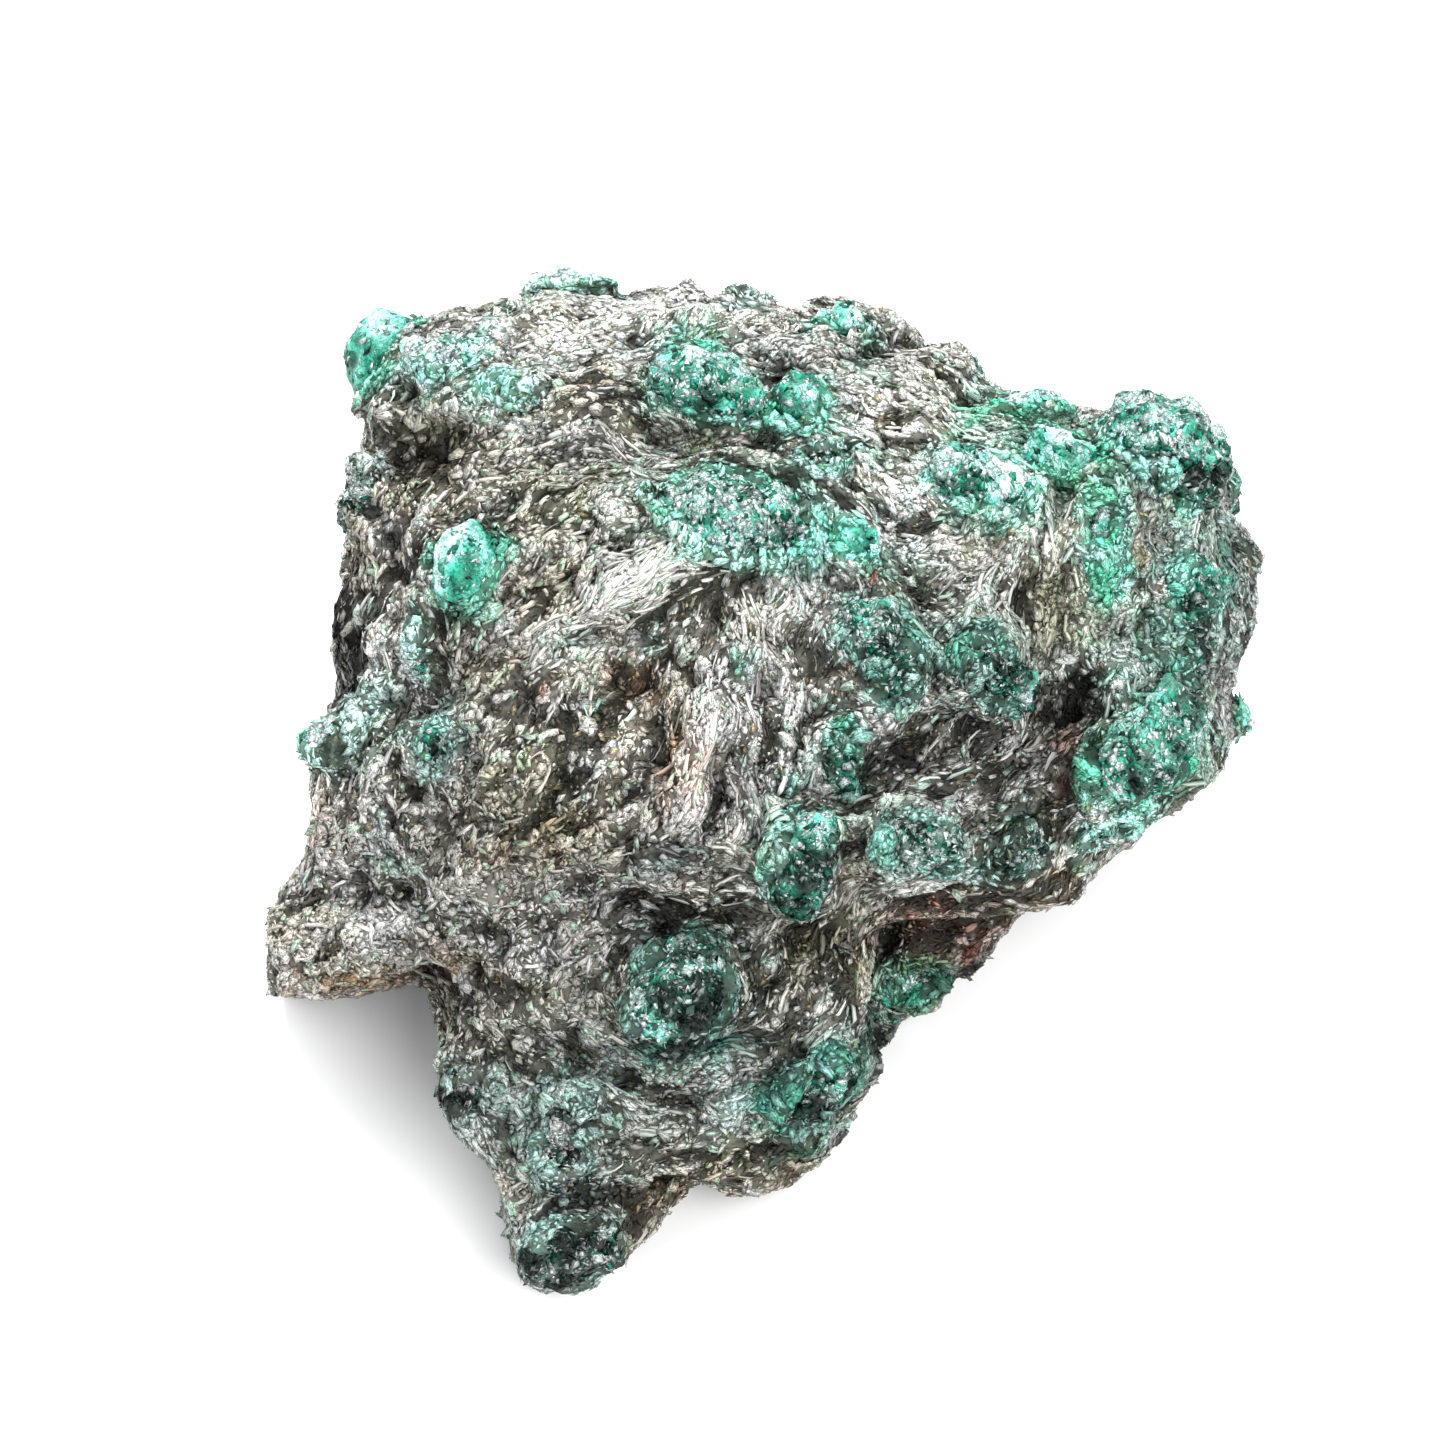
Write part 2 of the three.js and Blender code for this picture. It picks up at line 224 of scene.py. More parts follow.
def spread(values):
    return (values - values.mean()) / (values.std() + 1e-9)


# the weight of a soft oval on the display face: its middle, its two half widths and its turn in degrees
def ovalWeight(place, u, v, wide, high, turn):
    angle = math.radians(turn)
    du = place[:, 0] - u
    dv = place[:, 1] - v
    along = (du * math.cos(angle) + dv * math.sin(angle)) / wide
    across = (dv * math.cos(angle) - du * math.sin(angle)) / high
    return np.exp(-(along ** 2 + across ** 2))


# how far each point is from a path on the face, and how far along the path that is
def distanceToPath(place, path):
    best = np.full(len(place), 1e9)
    share = np.zeros(len(place))
    steps = len(path) - 1
    for i in range(steps):
        start = np.array(path[i], float)
        edge = np.array(path[i + 1], float) - start
        t = np.clip(((place[:, :2] - start) @ edge) / (edge @ edge), 0, 1)
        away = np.linalg.norm(place[:, :2] - start - t[:, None] * edge, axis=1)
        nearer = away < best
        best[nearer] = away[nearer]
        share[nearer] = (i + t[nearer]) / steps
    return best, share


# each stroke of the mica's lay: u, v, heading in degrees anticlockwise from u, and how far it rules
strokes = [
    (-9, 30, -35, 6), (-16, 38, 4, 8), (-25, 39, 18, 6), (-8, 25, 4, 6), (2, 27, 14, 6),
    (-16, 20, 52, 6), (-22, 24, 38, 6), (-9, 13, 35, 6), (-2, 16, 33, 4), (3, 8, 80, 6), (2, -2, 86, 7),
    (-2, -8, 74, 6), (8, 12, 74, 5), (13, 13, 108, 4), (18, -4, 38, 8), (26, 0, 34, 6), (33, 10, 90, 7),
    (34, 2, 96, 5), (23, 38, -42, 8), (16, 41, -16, 6), (18, 32, -36, 6), (12, 36, -24, 6),
    (31, 25, -50, 5), (18, 25, -30, 5), (21, 16, 14, 5), (28, 16, 62, 5), (38, 12, 88, 6),
    (43, 16, 80, 6), (50, 12, 96, 7), (48, 4, 76, 6), (33, -8, 50, 6), (38, -14, 44, 6),
    (23, -14, 16, 6), (18, -18, 20, 5), (11, -18, 62, 5), (-12, -4, 68, 6), (-16, 2, 64, 6),
    (-22, 7, 56, 6), (-30, 16, 60, 5), (-34, 12, 70, 6), (-34, 27, 76, 5), (-27, 22, 4, 4),
    (-18, -16, 22, 6), (-12, -14, 6, 6), (-2, -16, -6, 6), (-12, -24, 72, 5), (-8, -34, -16, 5),
    (0, -35, 12, 5), (6, -31, 46, 5), (8, -26, 70, 5), (-2, -41, 8, 6), (8, -40, 34, 6),
    (-10, -40, -10, 5), (-16, -34, -48, 5), (-16, -46, 0, 5), (-8, -47, 20, 5), (-16, -53, 6, 5),
    (-24, -38, -58, 5), (-39, -21, 8, 7), (-38, -6, 60, 5),
]
# where the schist is granular and has no clear lay: u, v and two half widths
grainy = [
    (-31, -8, 11, 14), (-20, -24, 8, 12), (-39, -21, 8, 6), (-16, -50, 8, 6), (-12, -2, 6, 7),
    (-30, 27, 6, 6), (44, 8, 7, 12), (10, -44, 8, 5),
]
foliation = {"normal": (0.25, 0.45, 0.86), "sway": 0.7, "swayScale": 26.0, "plain": 0.16,
             "search": 8.0, "farAway": 20.0, "ring": 1.1, "ringWidth": 1.6,
             "swirl": 1.3, "swirlSize": 2.6, "fineSwirl": 0.5, "fineSwirlSize": 1.3}


# the direction in which the mica lies at each point, and the nearest crystal with its distance
def layOfMica(points, normals, place, crystalTree, crystalCentres, crystalOwners):
    sway = np.stack([cloud(points, foliation["swayScale"], s) for s in (3.1, 8.4, 14.9)], 1)
    across = unit(np.array(foliation["normal"]) + foliation["sway"] * sway * 2)
    lay = unit(np.cross(normals, across))
    tensor = foliation["plain"] * lay[:, :, None] * lay[:, None, :]
    facing = fadeBehind(place, "strokes")
    for u, v, heading, reach in strokes:
        near = np.exp(-((place[:, 0] - u) ** 2 + (place[:, 1] - v) ** 2) / reach ** 2) * facing
        angle = math.radians(heading)
        run, rise = np.array(math.cos(angle)), np.array(math.sin(angle))
        line = fromFaceDirection(run, rise, np.array(0.0))
        line = unit(line - normals * (normals @ line)[:, None])
        tensor += near[:, None, None] * line[:, :, None] * line[:, None, :]
    away = np.full(len(points), foliation["farAway"])
    owner = np.zeros(len(points), dtype=int)
    for i, point in enumerate(points):
        found = crystalTree.find_nearest(Vector(point), foliation["search"])
        if found[0] is None:
            continue
        away[i] = found[3]
        owner[i] = crystalOwners[found[2]]
        out = np.array(point) - crystalCentres[found[2]]
        ring = np.cross(normals[i], out)
        size = np.linalg.norm(ring)
        if size > 1e-6:
            ring /= size
            near = math.exp(-(found[3] / foliation["ringWidth"]) ** 2)
            tensor[i] += foliation["ring"] * near * np.outer(ring, ring)
    level = np.eye(3) - normals[:, :, None] * normals[:, None, :]
    tensor = level @ tensor @ level
    _, vectors = np.linalg.eigh(tensor)
    swirl = cloud(points, foliation["swirlSize"], 77.0)
    swirl = swirl + foliation["fineSwirl"] * cloud(points, foliation["fineSwirlSize"], 78.0)
    return turned(unit(vectors[:, :, 2]), normals, foliation["swirl"] * swirl), away, owner


def treeOfPoints(points):
    tree = KDTree(len(points))
    for i, point in enumerate(points):
        tree.insert(point, i)
    tree.balance()
    return tree


# adds up the values that lie ahead and behind along the lay, so that noise becomes streaks
def drawAlong(points, lay, values, step, steps):
    tree = treeOfPoints(points)
    ahead = np.array([tree.find(point)[1] for point in points + lay * step])
    behind = np.array([tree.find(point)[1] for point in points - lay * step])
    total = values.copy()
    for way in (1, -1):
        here = np.arange(len(points))
        heading = lay * way
        for _ in range(steps):
            same = np.einsum("ij,ij->i", lay[here], heading) >= 0
            here = np.where(same, ahead[here], behind[here])
            onward = np.einsum("ij,ij->i", lay[here], heading) >= 0
            heading = np.where(onward[:, None], lay[here], -lay[here])
            total = total + values[here]
    return total


# furrows and ribs on the face: a path of u and v, its width and its lift
creases = [
    ([(-16, 25), (-12, 28), (-6, 29), (2, 28), (8, 29)], 1.5, -1.5),
    ([(-12, 24), (-6, 25.5), (2, 25.8), (8, 23.6)], 0.8, 0.9),
    ([(-15.5, 9.6), (-9, 14.6), (-5, 17), (-2.4, 15.8)], 1.3, 1.1),
    ([(-15, 7), (-10, 10.2), (-4.4, 12.4)], 0.7, -0.4),
    ([(-2.4, 15.6), (-1.4, 12), (0.6, 9)], 1.2, -1.2),
    ([(-7, 2), (-6.6, -2), (-6, -6)], 1.0, -1.5),
    ([(-2, 2), (-2.6, -4), (-3.6, -10)], 1.6, 1.3),
    ([(24, 28.6), (28, 26.4), (31.4, 21.6)], 0.9, 1.1),
    ([(30, 15), (31, 8), (32, 2)], 0.8, -1.0),
    ([(33.4, 15), (34, 8), (35.4, 2)], 0.8, -1.0),
    ([(12, -6), (18, -3), (27, 0.4)], 1.0, -1.2),
    ([(13, -9.4), (20, -6.4), (28, -4)], 1.0, 1.0),
    ([(28, -4), (32, -2), (36, 4), (37.4, 12)], 1.2, -1.1),
    ([(-38, 26), (-34, 20), (-32, 12), (-33, 4)], 1.2, -1.2),
    ([(-35.6, 30), (-31, 31.4), (-26, 31.2), (-22, 28.6)], 1.3, 1.0),
    ([(-28, -32), (-20, -30), (-13, -34), (-4, -37.4), (5, -35), (11, -29)], 1.1, -1.2),
    ([(-26, -37), (-18, -36), (-8, -40), (2, -41), (9, -38.6)], 1.2, 1.0),
    ([(-10, -31.6), (-4, -32.6), (3, -31)], 0.9, -1.5),
    ([(-14, -17), (-6, -18.8), (2, -18.4), (8, -20.4), (13, -22)], 1.4, -1.5),
    ([(-22, -46), (-14, -46.6), (-7, -46), (-3.6, -45)], 1.1, -1.6),
    ([(-41, -16), (-34, -17.6), (-28, -20)], 1.3, -0.9),
    ([(14, -18.4), (22, -18.6), (31, -17.6)], 1.0, -1.2),
    ([(-36, 37), (-31, 32.4)], 1.0, -0.9),
    ([(5, 37), (11, 34.6), (15, 30)], 0.9, -0.9),
    ([(-12, 39), (-6, 37.6), (-4.6, 41)], 0.9, -0.8),
    ([(-24, 41), (-17, 39.4), (-8, 40.6), (2, 39.4)], 0.9, 0.7),
]
# hollows and swellings: u, v, two half widths, turn and lift
hollows = [
    (-42.4, -14, 2.6, 3, 0, -1.8), (-32, -27, 4, 2.4, 0, -1.6), (-47.6, -24, 2.6, 3, 0, -1.4),
    (55.6, 11.7, 2.4, 4, 0, -1.4), (39.3, 31.7, 3, 2, 0, -1.2), (-38.2, 3.2, 2, 2, 0, -1.4),
    (-29, 27, 3.6, 2.8, 10, -1.6), (-9, 4.4, 1.7, 1.7, 0, -1.1), (-13, 5, 2, 1.8, 0, 1.1),
    (33.4, 1.4, 2, 2.2, -20, -1), (31, -3.6, 1.6, 1.4, 30, -0.8), (-2.2, 14.4, 1.6, 1.8, 20, 1.4),
    (2, -1, 3, 3.4, 0, 0.9), (-10.2, 19.8, 2.8, 2.3, 0, 2.6), (4.6, 4.4, 1.7, 1.9, 0, 1.2),
    (12, -14, 1.6, 3.2, 0, -1.4), (-34, -9, 3.4, 3, 0, 0.9), (-22, -12, 3, 2.4, 0, -0.9),
    (-6, -21, 3, 2, 0, -0.9),
]
# small swellings and dips along the outline, in the same order
bulges = [
    (23, 38, 3, 1.6, -20, 0.8), (53, 18.4, 2, 3, 0, 1.1), (-39.6, 6.4, 1.8, 3, 0, 0.9),
    (-42.2, -6, 1.8, 5.4, 0, 0.7), (20.6, -27.6, 9.4, 2.6, 40, 1), (-28.4, 41.2, 4, 1.6, 0, 0.6),
    (9.6, -43.6, 2.6, 2, 40, 0.6), (2.4, 44, 3, 1.8, 0, -1.4), (29, 34, 2.8, 1.6, -10, -0.6),
    (40, 32.4, 2, 1.8, 0, -0.8), (-2.8, -46.6, 2.2, 1.6, 0, -1.2), (-43.8, -15.6, 2.2, 2.2, 0, -0.6),
    (-45, -26.8, 3.4, 1.6, 0, -0.6), (-38, 25.4, 1.6, 1.8, 0, -0.5), (37, -19, 2.4, 1.6, 40, -0.4),
]
# where silver mica gathers, and, below zero, where it gives way to dark: an oval and an amount; some ovals
# also paint light and shade, such as the shade under the overhang on the right, in the notch on the left
# and in the groove under the crown
lustreLightAndShade = [
    (-9.5, 13.5, 7.5, 1.9, 36, 2.4), (-10.2, 19.8, 2.8, 2.2, 0, 1.8), (4.6, 4.4, 1.8, 2, 0, 1.2),
    (-5.5, 14.6, 2.3, 1.7, 0, 1.8), (-18, 7.4, 3.4, 2, 20, 1), (-2, -4, 2.2, 8, -5, 1.4),
    (0, 26, 9, 1.3, -6, 1.5), (29.4, 24, 5, 1.1, -51, 1.6), (-20, 38, 7, 3, 8, 1.4),
    (-27, 31, 5, 2, 0, 0.8), (2, -12, 5, 1.7, -20, 1.8), (8, 7, 2.2, 6, 0, 1.1),
    (-33, -10, 4, 5, 0, 0.6), (-38, -20, 8, 5, 0, 0.4), (20, 36, 8, 3, -30, 0.7),
    (26, 22, 4, 3, -40, 0.6), (16, -4, 7, 3, 30, -1.3), (-29, 27, 5, 4, 0, -1.2),
    (-8.8, 4.4, 2, 2.2, 0, -0.6), (33, 0, 3, 4, 0, -1.8), (-4, -20, 12, 3, -3, -1),
    (12, -22, 7, 3, 0, -1), (-8, -45, 12, 3, 10, -0.6), (4, -30, 7, 7, 0, -0.4),
    (28, -16, 9, 4, 30, -0.6), (-37, 8, 3, 10, 0, -0.8), (-3, 41.5, 13, 2.6, 0, 0.9),
    (-18, 36, 6, 2.6, 0, 0.9), (-22, 29.5, 8, 2.6, 0, 0.5), (20, 24, 6, 2.8, -10, 1.5),
    (-21, 17, 7, 2.6, 0, 0.7), (8, 17, 2.6, 2.4, 0, 1.1), (27, 17.6, 4.6, 2.6, 0, 1.3),
    (42, 18, 4.4, 2.8, 0, 1.2), (-33, 8, 2.6, 5, 0, 1.3), (40, 11, 4.6, 3.4, 0, 1.4),
    (-27, 1, 3, 4, 0, 0.9), (-11, 8.4, 3, 1.6, 20, 0.8), (-3, 5, 2.2, 2.4, 0, -1),
    (9, 5, 2.6, 2.6, 0, -1.2), (-15, -6, 4, 4, 0, -1.3), (39, -7, 3, 3, 0, 0.9),
    (-6, -13, 4.6, 2.2, 0, -1.1), (3, -19, 3, 1.6, 0, 1), (-39, -19, 3, 3, 0, 0.8),
    (27, -19, 3, 2.6, 0, -0.9), (-21, -25, 7, 2.6, 0, -0.9), (15, -25, 2.4, 2.4, 0, 0.8),
    (10, -30.6, 2.4, 2.6, 0, 1.1), (15, -31, 2.2, 3, 0, -1.3), (-21, -38, 3, 3, 0, 1),
    (1, -37.4, 4.4, 2, 0, 1.3), (-21, -46, 2.4, 5, 0, 1.1), (-15, -1, 3, 3, 0, -0.8),
    (6, 11.6, 4, 1, 25, 1.3), (-3.4, 13, 1.8, 1.6, 0, -1.2), (2, -9.4, 3, 0.8, -15, 1.2),
    (-38, 7.4, 1.4, 4.4, 0, -2.4), (-33, 21.6, 1.6, 1.2, -30, 1.6), (-12.8, 4.6, 1.6, 2.4, 10, 1.8),
    (-6, 3.4, 1, 1.6, 30, 1.5), (-9.4, 8.2, 3.4, 1.4, 10, 1.2), (39, -7, 2.4, 2.4, 0, 0.8),
    (46, 18, 3, 2.6, 0, 0.8), (-15, 29, 3.4, 2.4, 0, 1.2), (-3, 41, 9, 2.4, 0, 0.7),
    (21, 18, 6, 2.4, 0, 0.9), (27, 11, 3, 4, 0, 1.2), (33, -1, 2.4, 2, 0, 0.6), (15, -7, 2.4, 2, 0, 1),
    (33, 11, 3, 3, 0, 0.5), (-4, 17, 4, 2, 0, -0.9), (-15, 11, 4, 2, 0, -0.6), (3, -19, 4, 2, 0, 0.7),
    (-8, -13, 6, 2.6, 0, -0.5), (-24, -29, 7, 4, 0, -0.6), (-20, -49, 2.6, 3, 0, 0.8),
    (3, -37, 3, 2, 0, 0.6), (-33, 10, 2.4, 4, 0, 1.2), (-12, 5, 2.4, 3, 0, 1), (-7, 41, 9, 2.4, 0, 1),
    (15, 17, 2.6, 2.2, 0, 1), (33, 29, 2.6, 2.4, 0, 0.8), (45, 17, 2.6, 2.6, 0, 0.8),
    (33, -13, 3, 2, 0, 0.8), (-2, -13, 3, 2, 0, -0.8),
]
# each tint multiplies the tone of what it colours; besides the rock's own stains, dark and pale runs also
# paint shade and light into it
tints = {
    "dark": (0.14, 0.14, 0.13), "brown": (0.66, 0.47, 0.32), "olive": (0.84, 0.78, 0.58),
    "rust": (0.80, 0.24, 0.16), "pale": (1.5, 1.5, 1.5), "pink": (1.14, 0.99, 0.97),
    "sand": (1.10, 1.0, 0.86), "green": (0.36, 0.95, 0.78), "teal": (0.20, 0.58, 0.52),
    "vivid": (0.18, 0.86, 0.64), "frosty": (0.60, 0.98, 0.93), "earth": (1.0, 0.965, 0.90),
}
# stains, painted shade and painted light in runs of one tint, each an oval and its share
patches = [
    ("dark", [(-29, 27, 4.6, 3.6, 0, 0.4)]), ("brown", [(-28, 26, 5, 4, 0, 0.35),
    (-9, 4.4, 2.6, 2.2, 0, 0.95)]), ("dark", [(-9.2, 4.8, 1.3, 1.1, 0, 0.45)]),
    # among the dark runs on this line and the next three, ovals paint shade under the overhang on the
    # right, in the notch on the left and in the groove under the crown
    ("brown", [(-6.4, -2, 1.8, 5.4, -6, 0.65)]), ("dark", [(-6.8, -5, 1.2, 3, 0, 0.5),
    (33.6, 1, 2.6, 3.4, 0, 0.8), (31, -4, 2.8, 2.4, 0, 0.55), (20, -3, 9, 3.2, 18, 0.4)]),
    ("olive", [(34, 10, 4, 7.5, 0, 0.4)]), ("dark", [(-38.6, 8, 2, 5.6, 0, 0.8),
    (-2, -19.6, 12, 2.4, -3, 0.5), (12, -21.4, 6, 2.4, 0, 0.5)]), ("brown", [(21, -24, 9, 4, 36, 0.55)]),
    ("rust", [(24, -23, 1.9, 1.5, 0, 0.8)]), ("pale", [(-8, 13.4, 6.6, 2, 34, 0.6),
    (-19, 38.4, 9, 3.6, 0, 0.35), (-2.4, -5, 2, 7, -8, 0.45), (-41, -6, 2.6, 3.6, 0, 0.35)]),
    ("pink", [(-41, -7, 3, 4, 0, 0.3)]), ("pale", [(-32.6, 21, 1.7, 1.3, 0, 0.8),
    (-2, 15, 2, 1.6, 0, 0.5), (30, 24, 3.4, 1, -50, 0.5)]), ("olive", [(-14, 24, 4, 1.6, 20, 0.35),
    # the brown run that starts on this line lies along the lower edges, a painted reflection of warm light
    # from below
    (-20, 20, 2, 5, -30, 0.35)]), ("brown", [(-12, -56, 12, 2, 20, 0.4), (4, -46.5, 9, 1.6, 10, 0.45),
    (-38, -27.6, 9, 1.8, 0, 0.4), (-38.6, 16, 1.6, 8, 0, 0.4)]), ("rust", [(-17.5, 2.6, 0.6, 0.8, 0, 1),
    (-31.6, 18.6, 0.7, 1.8, 0, 0.6), (33.6, -5.8, 0.9, 1.8, 0, 0.7), (14.6, 14.4, 0.6, 0.9, 0, 0.8),
    (-21.4, 30.6, 0.8, 0.6, 0, 0.7)]), ("green", [(-21.6, 42.4, 3, 1.6, 24, 0.6),
    (1.8, 32.6, 3.4, 3, 0, 0.7), (-3.4, 39, 3.4, 1.6, 0, 0.6), (14.6, 35.8, 1.7, 1.5, 0, 0.6),
    (14.8, 26.6, 2, 1.4, 0, 0.6), (28.8, 31.2, 4, 2, 0, 0.7), (37.8, 28.8, 3, 3, 0, 0.45),
    (37.3, 17, 1.6, 6, 0, 0.6), (46.3, -2.2, 4, 4, 0, 0.55)]), ("teal", [(44, 9, 3, 5, 0, 0.4),
    (50.6, 14, 2.4, 7, 0, 0.55)]), ("green", [(21.8, 7.4, 3, 2, -20, 0.55)]),
    ("teal", [(18, 9.6, 3.4, 2, -30, 0.45)]), ("green", [(24, 29, 1.4, 4, -30, 0.5)]),
    ("teal", [(4.8, -37.4, 3, 1.6, 10, 0.5), (21.4, -24.4, 3, 2, 30, 0.5), (-15, -40, 8, 5, 0, 0.3),
    (10.8, -37, 3, 3, 40, 0.4), (-27.8, -37, 1.8, 5, 0, 0.5), (-15, -52, 6, 3, 0, 0.35),
    (-6.6, -13.2, 2.4, 1.2, 0, 0.6), (-5.7, 8.7, 2.6, 2, 0, 0.5)]),
    ("green", [(-32.6, -13.8, 2.4, 2, 0, 0.25), (-15, 7.4, 2.6, 2, 0, 0.3), (-22, 33, 4, 2, -14, 0.5),
    (-30, 33, 3, 2, 20, 0.35), (19, 14, 2.4, 1.6, 20, 0.4), (3, 23.6, 7, 2.4, -8, 0.35),
    (8, 17.8, 4, 3, 0, 0.4)]), ("teal", [(-4.2, -31.6, 5.4, 1.8, 0, 0.5)]),
    ("green", [(12, -2, 1.2, 4, 0, 0.5), (28, -10.8, 1.4, 1.2, 0, 0.7), (16, -10.6, 5, 2, -12, 0.35)]),
    ("teal", [(3, -12, 2, 2, 0, 0.4)]), ("green", [(-31, -1, 7, 2.4, 28, 0.3),
    (-40.8, -2.6, 1.2, 3, 0, 0.6), (34, 22, 3, 3, -20, 0.3), (32, 34, 4, 1.4, 0, 0.6),
    (40, 4, 5, 7, 0, 0.4)]), ("teal", [(46, 16, 7, 12, 0, 0.35)]), ("green", [(42, -8, 6, 4, 40, 0.3),
    (30, 30, 7, 4, -20, 0.35)]), ("teal", [(20, -14, 9, 4, 10, 0.25), (-4, -30, 10, 7, 0, 0.3),
    (4, -38, 9, 4, 20, 0.3), (-18, -44, 8, 9, 0, 0.3), (-4, 34, 8, 5, -20, 0.2)]),
    ("green", [(-4, 20, 12, 5, -8, 0.22)]), ("teal", [(26, 8, 8, 5, 0, 0.25)]),
    ("brown", [(-20, 14, 8, 10, 40, 0.15)]), ("olive", [(-10, 22, 10, 4, 10, 0.2)]),
    ("brown", [(-14, -8, 10, 8, 0, 0.15)]), ("olive", [(24, 18, 6, 5, 0, 0.15),
    (-29, 26.5, 5, 4.4, 0, 0.8)]), ("brown", [(-38, 16, 1.8, 6, 0, 0.7), (-24, 6.5, 4, 3, 0, 0.45)]),
    ("olive", [(-22, -5, 4, 3, 20, 0.5), (-17, -10, 5, 4, 0, 0.6)]), ("brown", [(-20, -14, 4, 3, 0, 0.4),
    (4.5, -12, 3, 2.4, 0, 0.35)]), ("olive", [(11, -22.6, 6, 3.4, 0, 0.8)]),
    ("brown", [(13, -16, 2.4, 3, 0, 0.45)]), ("rust", [(19.3, -20, 4.4, 1.5, 16, 0.6),
    (24.5, -22.2, 2.2, 1.8, 0, 0.7)]), ("brown", [(31, -17, 6, 2, 36, 0.7),
    (45.6, -9, 3, 2.4, 50, 0.6)]), ("rust", [(34, -2.6, 2, 3, 0, 0.35)]),
    ("olive", [(31.4, 11.3, 3.4, 4.6, 0, 0.5)]), ("sand", [(35, 21.8, 4, 4, 0, 0.5),
    (-13, 32, 5, 4, 0, 0.5)]), ("olive", [(-1.8, 27.6, 5, 1.6, 0, 0.6)]),
    ("pink", [(-3, -4.5, 2.4, 4.4, -8, 0.7)]), ("sand", [(-6, -0.5, 1.6, 4, 0, 0.8)]),
    ("pink", [(-40, -10, 3, 5, 0, 0.8)]), ("sand", [(-42, -21, 5, 4, 0, 0.5)]),
    ("brown", [(-37.6, -26, 9, 1.6, 0, 0.7), (-27, -24.6, 5, 2.4, 0, 0.6)]),
    ("olive", [(-28, -32, 3, 4, 0, 0.5)]), ("sand", [(-6, -37, 4, 2, 0, 0.5),
    (0, -42.4, 7, 2.2, 8, 0.9)]), ("brown", [(-6, -47, 4, 2, 20, 0.8), (-10, -50, 2.4, 4, -30, 0.6)]),
    ("pink", [(-21, -46, 2.6, 3, 0, 0.6)]), ("sand", [(8, -44, 4, 1.6, 20, 0.7),
    (-12, -27, 6, 4, 0, 0.4), (22, 30, 3, 6, 40, 0.3), (-16, 12, 7, 4, 40, 0.4)]),
    ("green", [(-35, 37.6, 4, 5, 0, 0.4), (42, -2, 5, 6, 0, 0.4), (35, 27, 4, 4, 0, 0.5),
    (7.7, 31.5, 3, 3, 0, 0.4), (29.8, 31.3, 4, 3, 0, 0.4)]),
    ("frosty", [(10.6, -33.6, 2.6, 1.4, 20, 0.8)]), ("vivid", [(7.6, -37, 2.4, 1.4, 30, 0.6)]),
    ("green", [(7.2, -42.6, 2.6, 1.3, 25, 0.8)]), ("teal", [(15.6, -28, 1.6, 4.4, -25, 0.7),
    (0, -31.8, 5, 0.9, 4, 0.7), (-7.6, -32.6, 2.6, 1.6, 0, 0.6)]), ("pale", [(-6, 41.2, 14, 3, 0, 0.6),
    (-33.6, 8.6, 2.2, 5.4, 6, 0.7), (-12.6, 4.8, 2, 2.8, 0, 0.6), (14.6, 17.4, 3.2, 1.8, 10, 0.6),
    (4.4, 16.2, 3, 1.6, -20, 0.5), (45.6, 18.4, 2.2, 3.4, -30, 0.7), (16.2, -6.2, 3.6, 1.4, 30, 0.8),
    (38.4, -8.4, 2.6, 2.2, 20, 0.5), (31.8, -13.4, 2.6, 1.4, 30, 0.5), (-12, -1.6, 3.4, 2, 30, 0.6),
    (-20.4, -48, 2, 3.4, 10, 0.7), (17, 28.6, 4.4, 3.4, -30, 0.5), (-18, 35.4, 5.4, 2.4, 10, 0.5),
    (10.4, -30, 1.6, 2.2, 40, 0.7), (2.6, -37.6, 3.4, 1.2, 10, 0.6), (3.8, -18.6, 2.4, 1.2, 0, 0.5),
    (-31, 33.6, 4.2, 2.2, 10, 0.7), (-37.6, -1, 3.4, 3, 0, 0.7), (-4.6, 43, 3.4, 1.4, 0, 0.8),
    (31.8, 31.6, 2.8, 1.4, -10, 0.8), (-30.4, 8.4, 1.6, 2.8, 10, 0.5), (40.4, 11.6, 3, 3.8, 0, 0.6)]),
    # in the dark runs from here on, the ovals on the right edge near u = 51 are painted shade against light
    # grazing that edge
    ("dark", [(-26.4, -25.2, 4.4, 2.6, -20, 0.3), (15.6, -34.4, 2.2, 4.4, -30, 0.5),
    (-3.4, -13, 3.2, 1.8, 0, 0.4), (-12.4, -30, 2.4, 2.8, 0, 0.3), (-15.6, -23.6, 3, 2, 0, 0.25),
    (21.8, -24, 3.4, 2.2, 30, 0.3), (52, 27.4, 1.8, 4.6, 0, 0.3), (46, -8.6, 3.2, 2.2, 40, 0.3),
    (3.4, -6.4, 2.2, 1.8, 0, 0.3), (9, -24.4, 2.2, 1.8, 0, 0.3), (9.6, -43.4, 3, 1.6, 40, 0.3),
    (22.4, 3.4, 3, 1.4, 10, 0.35)]), ("pale", [(-10.2, 19.8, 2.6, 2.2, 0, 0.5),
    (-6, 40.6, 13, 3.4, 0, 0.7), (-27, 34.6, 9, 3.6, 14, 0.6), (25, 33, 5, 3.6, -30, 0.7),
    (20, 27, 9, 4.4, -20, 0.5), (14, 19, 7, 3.4, 10, 0.5), (45.6, 20, 3, 4, 0, 0.7),
    (45, 11.4, 8, 3.6, 0, 0.6), (-33.4, 11, 2.4, 3.4, 0, 0.7), (-3, 11.4, 2.8, 3, 0, 0.7),
    (-9.6, 4, 2.4, 3, 0, 0.7), (-9.6, -1.4, 2.8, 2.8, 0, 0.8), (-30, -0.6, 5, 3, 0, 0.6),
